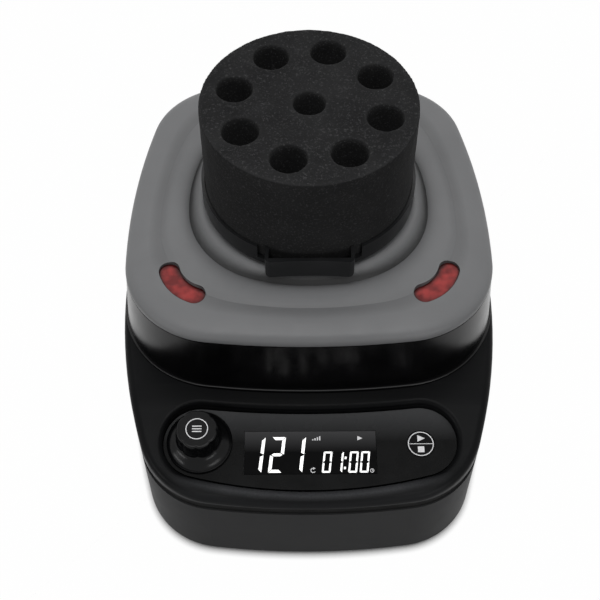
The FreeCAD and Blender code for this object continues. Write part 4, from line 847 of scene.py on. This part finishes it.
KNOB_PROFILE = [
    (3.05, 10.9),
    (3.05, 0.85),
    (15.1, 0.85),
    (15.4, 0.95),
    (15.4, 1.35),
    (15.1, 1.55),
    (14.95, 1.8),
    (14.5, 2.5),
    (13.8, 3.3),
    (12.8, 4.1),
    (11.7, 4.8),
    (10.8, 5.5),
    (10.2, 6.4),
    (9.95, 7.5),
    (9.6, 12.0),
    (9.45, 16.2),
    (9.3, 16.65),
    (9.0, 16.92),
    (8.6, KNOB_TOP),
]
KNOB_SPOKES = 192
FLUTES = 8
FLUTE_DEPTH = 0.55
FLUTE_FOOT = (5.5, 8.0)
FLUTE_FREE = 5.0


def fluted(radius, height, angle):
    """The radius less a narrow groove between two lobes, which dies out at the barrel's foot."""
    if radius < FLUTE_FREE:
        return radius
    low, high = FLUTE_FOOT
    share = min(max((height - low) / (high - low), 0.0), 1.0)
    groove = (1.0 - abs(math.sin(FLUTES * angle / 2))) ** 2
    return radius - FLUTE_DEPTH * share * groove


def make_knob():
    shape = bmesh.new()
    angles = [2 * math.pi * k / KNOB_SPOKES for k in range(KNOB_SPOKES)]
    rings = []
    for radius, height in KNOB_PROFILE:
        ring = []
        for angle in angles:
            reach = fluted(radius, height, angle)
            place = (KNOB_AT.x + reach * math.cos(angle), KNOB_AT.y + reach * math.sin(angle), height)
            ring.append(shape.verts.new(place))
        rings.append(ring)
    skin(shape, rings)
    knob = to_piece("speed_knob_cap", shape, "knob")
    knob.data.transform(panel_matrix())
    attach(knob, "speed_knob")
    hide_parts("control_knob")


make_knob()


# The press springs under the motor plate: real coils


SPRING_RADIUS = 6.4 * MM
SPRING_WIRE = 1.5 * MM
SPRING_TURNS = 6
STEPS_PER_TURN = 32
WIRE_SIDES = 10
UPWARD = Vector((0.0, 0.0, 1.0))


def middle_of(values):
    return (min(values) + max(values)) / 2


def spring_centres(low, high):
    """The middle of each of the four springs, one in each quarter of their box."""
    middle = (low + high) / 2
    quarters = {}
    for vertex in nodes["press_springs"].data.vertices:
        quarter = (vertex.co.x > middle.x, vertex.co.y > middle.y)
        quarters.setdefault(quarter, []).append(vertex.co)
    centres = []
    for quarter in sorted(quarters):
        points = quarters[quarter]
        centres.append((middle_of([p.x for p in points]), middle_of([p.y for p in points])))
    return centres


def add_coil(shape, centre, low, high):
    """A round wire along a helix between two heights, closed at both ends."""
    wire = SPRING_WIRE / 2
    coil = SPRING_RADIUS - wire
    rise = high - low - SPRING_WIRE
    count = SPRING_TURNS * STEPS_PER_TURN
    turns = [2 * math.pi * k / WIRE_SIDES for k in range(WIRE_SIDES)]
    rings = []
    for step in range(count + 1):
        angle = 2 * math.pi * step / STEPS_PER_TURN
        outward = Vector((math.cos(angle), math.sin(angle), 0.0))
        place = Vector((*centre, low + wire + rise * step / count)) + outward * coil
        rim = [place + wire * (outward * math.cos(a) + UPWARD * math.sin(a)) for a in turns]
        rings.append([shape.verts.new(point) for point in rim])
    skin(shape, rings)


def make_springs():
    low_corner, high_corner = [Vector(corner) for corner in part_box("press_springs")]
    low = low_corner.z
    high = high_corner.z
    shape = bmesh.new()
    for centre in spring_centres(low_corner, high_corner):
        add_coil(shape, centre, low, high)
    springs = to_piece("spring_coils", shape, "steel")
    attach(springs, "housing")
    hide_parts("press_springs")
    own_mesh(springs)


make_springs()


# The foam block: softened rims, uneven skin


FOAM_VOXEL = 0.9 * MM
FOAM_BLOBS = 6.0 * MM
FOAM_UNEVENNESS = 0.35 * MM


def make_foam():
    foam = add_object("foam_holder", nodes["foam_block"].data.copy())
    remesh = foam.modifiers.new("even_skin", "REMESH")
    remesh.mode = "VOXEL"
    remesh.voxel_size = FOAM_VOXEL
    smooth = foam.modifiers.new("soft_rims", "SMOOTH")
    smooth.factor = 0.5
    smooth.iterations = 1
    clouds = bpy.data.textures.new("foam_unevenness", "CLOUDS")
    clouds.noise_scale = FOAM_BLOBS
    uneven = foam.modifiers.new("uneven_skin", "DISPLACE")
    uneven.texture = clouds
    uneven.texture_coords = "GLOBAL"
    uneven.strength = FOAM_UNEVENNESS
    uneven.mid_level = 0.5
    bpy.context.view_layer.update()
    evaluated = foam.evaluated_get(bpy.context.evaluated_depsgraph_get())
    finished = bpy.data.meshes.new_from_object(evaluated)
    foam.modifiers.clear()
    foam.data = finished
    finished.materials.clear()
    finished.materials.append(MATERIALS["foam"])
    for polygon in finished.polygons:
        polygon.use_smooth = True
    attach(foam, "mixing_head")
    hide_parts("foam_block")


make_foam()


# Floor, light and camera. The sizes from here on are in metres.


FLOOR_HALF = 8.0
PAPER_TONE = (0.40, 0.40, 0.40, 1.0)
CONTACT_REACH = 5.0 * MM
OPEN_FLOOR_FROM = (0.45, 0.92)
OPEN_FLOOR_GLOW = 0.99
FILL_STRENGTH = 0.18
SEEN_STRENGTH = 1.0
SIDE_TARGET = (-0.05, -0.08, 0.06)
SIDE_SIZE = (0.60, 0.16)
# Each lamp's name, place, target, size and power in watts
SOFTBOXES = [
    ("rear_softbox", (0.0, 0.95, 1.35), (0.0, 0.0, 0.1), (1.6, 0.9), 5.0),
    ("top_softbox", (0.0, -0.38, 1.6), (0.0, -0.04, 0.1), (1.3, 0.9), 13.5),
    ("left_softbox", (-0.98, -0.58, 0.38), SIDE_TARGET, SIDE_SIZE, 2.2),
    ("right_softbox", (0.62, -0.89, 0.38), SIDE_TARGET, SIDE_SIZE, 2.2),
]
CAMERA_AT = Vector((-6.5, -335.15, 516.1)) * MM
# Degrees that the camera looks down, and turns about the upright
CAMERA_DROP = 53.85
CAMERA_TURN = -0.385


def background_seen(tree):
    """One for rays from the camera, from gloss and through glass."""
    path = tree.nodes.new("ShaderNodeLightPath").outputs
    direct = calculated(tree, "MAXIMUM", path["Is Camera Ray"], path["Is Glossy Ray"])
    return calculated(tree, "MAXIMUM", direct, path["Is Transmission Ray"])


def make_stage():
    """A pale floor that is white where it is seen, and keeps the object's shadow where it stands on it,
    deepened there by painted shade.
    """
    half = FLOOR_HALF
    mesh = bpy.data.meshes.new("floor")
    corners = [(-half, -half, 0), (half, -half, 0), (half, half, 0), (-half, half, 0)]
    mesh.from_pydata(corners, [], [(0, 1, 2, 3)])
    floor = add_object("floor", mesh)
    material = bpy.data.materials.new("floor_white")
    material.use_nodes = True
    tree = material.node_tree
    tree.nodes.clear()
    painted_contact_shade = tree.nodes.new("ShaderNodeAmbientOcclusion")
    painted_contact_shade.inputs["Distance"].default_value = CONTACT_REACH
    painted_contact_shade.inputs["Color"].default_value = PAPER_TONE
    paper = tree.nodes.new("ShaderNodeBsdfDiffuse")
    tree.links.new(painted_contact_shade.outputs["Color"], paper.inputs["Color"])
    glow = tree.nodes.new("ShaderNodeEmission")
    glow.inputs["Strength"].default_value = SEEN_STRENGTH
    open_floor = spread(tree, painted_contact_shade.outputs["AO"], 0.0, OPEN_FLOOR_GLOW, *OPEN_FLOOR_FROM)
    mixer = tree.nodes.new("ShaderNodeMixShader")
    tree.links.new(product(tree, background_seen(tree), open_floor), mixer.inputs["Fac"])
    tree.links.new(paper.outputs["BSDF"], mixer.inputs[1])
    tree.links.new(glow.outputs["Emission"], mixer.inputs[2])
    output = tree.nodes.new("ShaderNodeOutputMaterial")
    tree.links.new(mixer.outputs["Shader"], output.inputs["Surface"])
    mesh.materials.append(material)


def make_world():
    world = bpy.data.worlds.new("studio")
    bpy.context.scene.world = world
    world.use_nodes = True
    tree = world.node_tree
    background = tree.nodes["Background"]
    background.inputs["Color"].default_value = (1.0, 1.0, 1.0, 1.0)
    strength = spread(tree, background_seen(tree), FILL_STRENGTH, SEEN_STRENGTH, 0.0, 1.0)
    tree.links.new(strength, background.inputs["Strength"])


def make_lamp(name, place, target, size, power):
    data = bpy.data.lights.new(name, "AREA")
    data.shape = "RECTANGLE"
    data.size, data.size_y = size
    data.energy = power
    lamp = add_object(name, data)
    lamp.location = place
    aim = Vector(target) - Vector(place)
    lamp.rotation_mode = "QUATERNION"
    lamp.rotation_quaternion = aim.to_track_quat("-Z", "Y")


def make_camera():
    data = bpy.data.cameras.new("photo_camera")
    data.lens = 66.0
    data.sensor_width = 36.0
    data.clip_start = 0.01
    data.clip_end = 50.0
    camera = add_object("photo_camera", data)
    camera.location = CAMERA_AT
    camera.rotation_euler = (math.radians(90.0 - CAMERA_DROP), 0.0, math.radians(CAMERA_TURN))
    bpy.context.scene.camera = camera


make_stage()
make_world()
for softbox in SOFTBOXES:
    make_lamp(*softbox)
make_camera()

bpy.context.scene.view_settings.view_transform = "Standard"
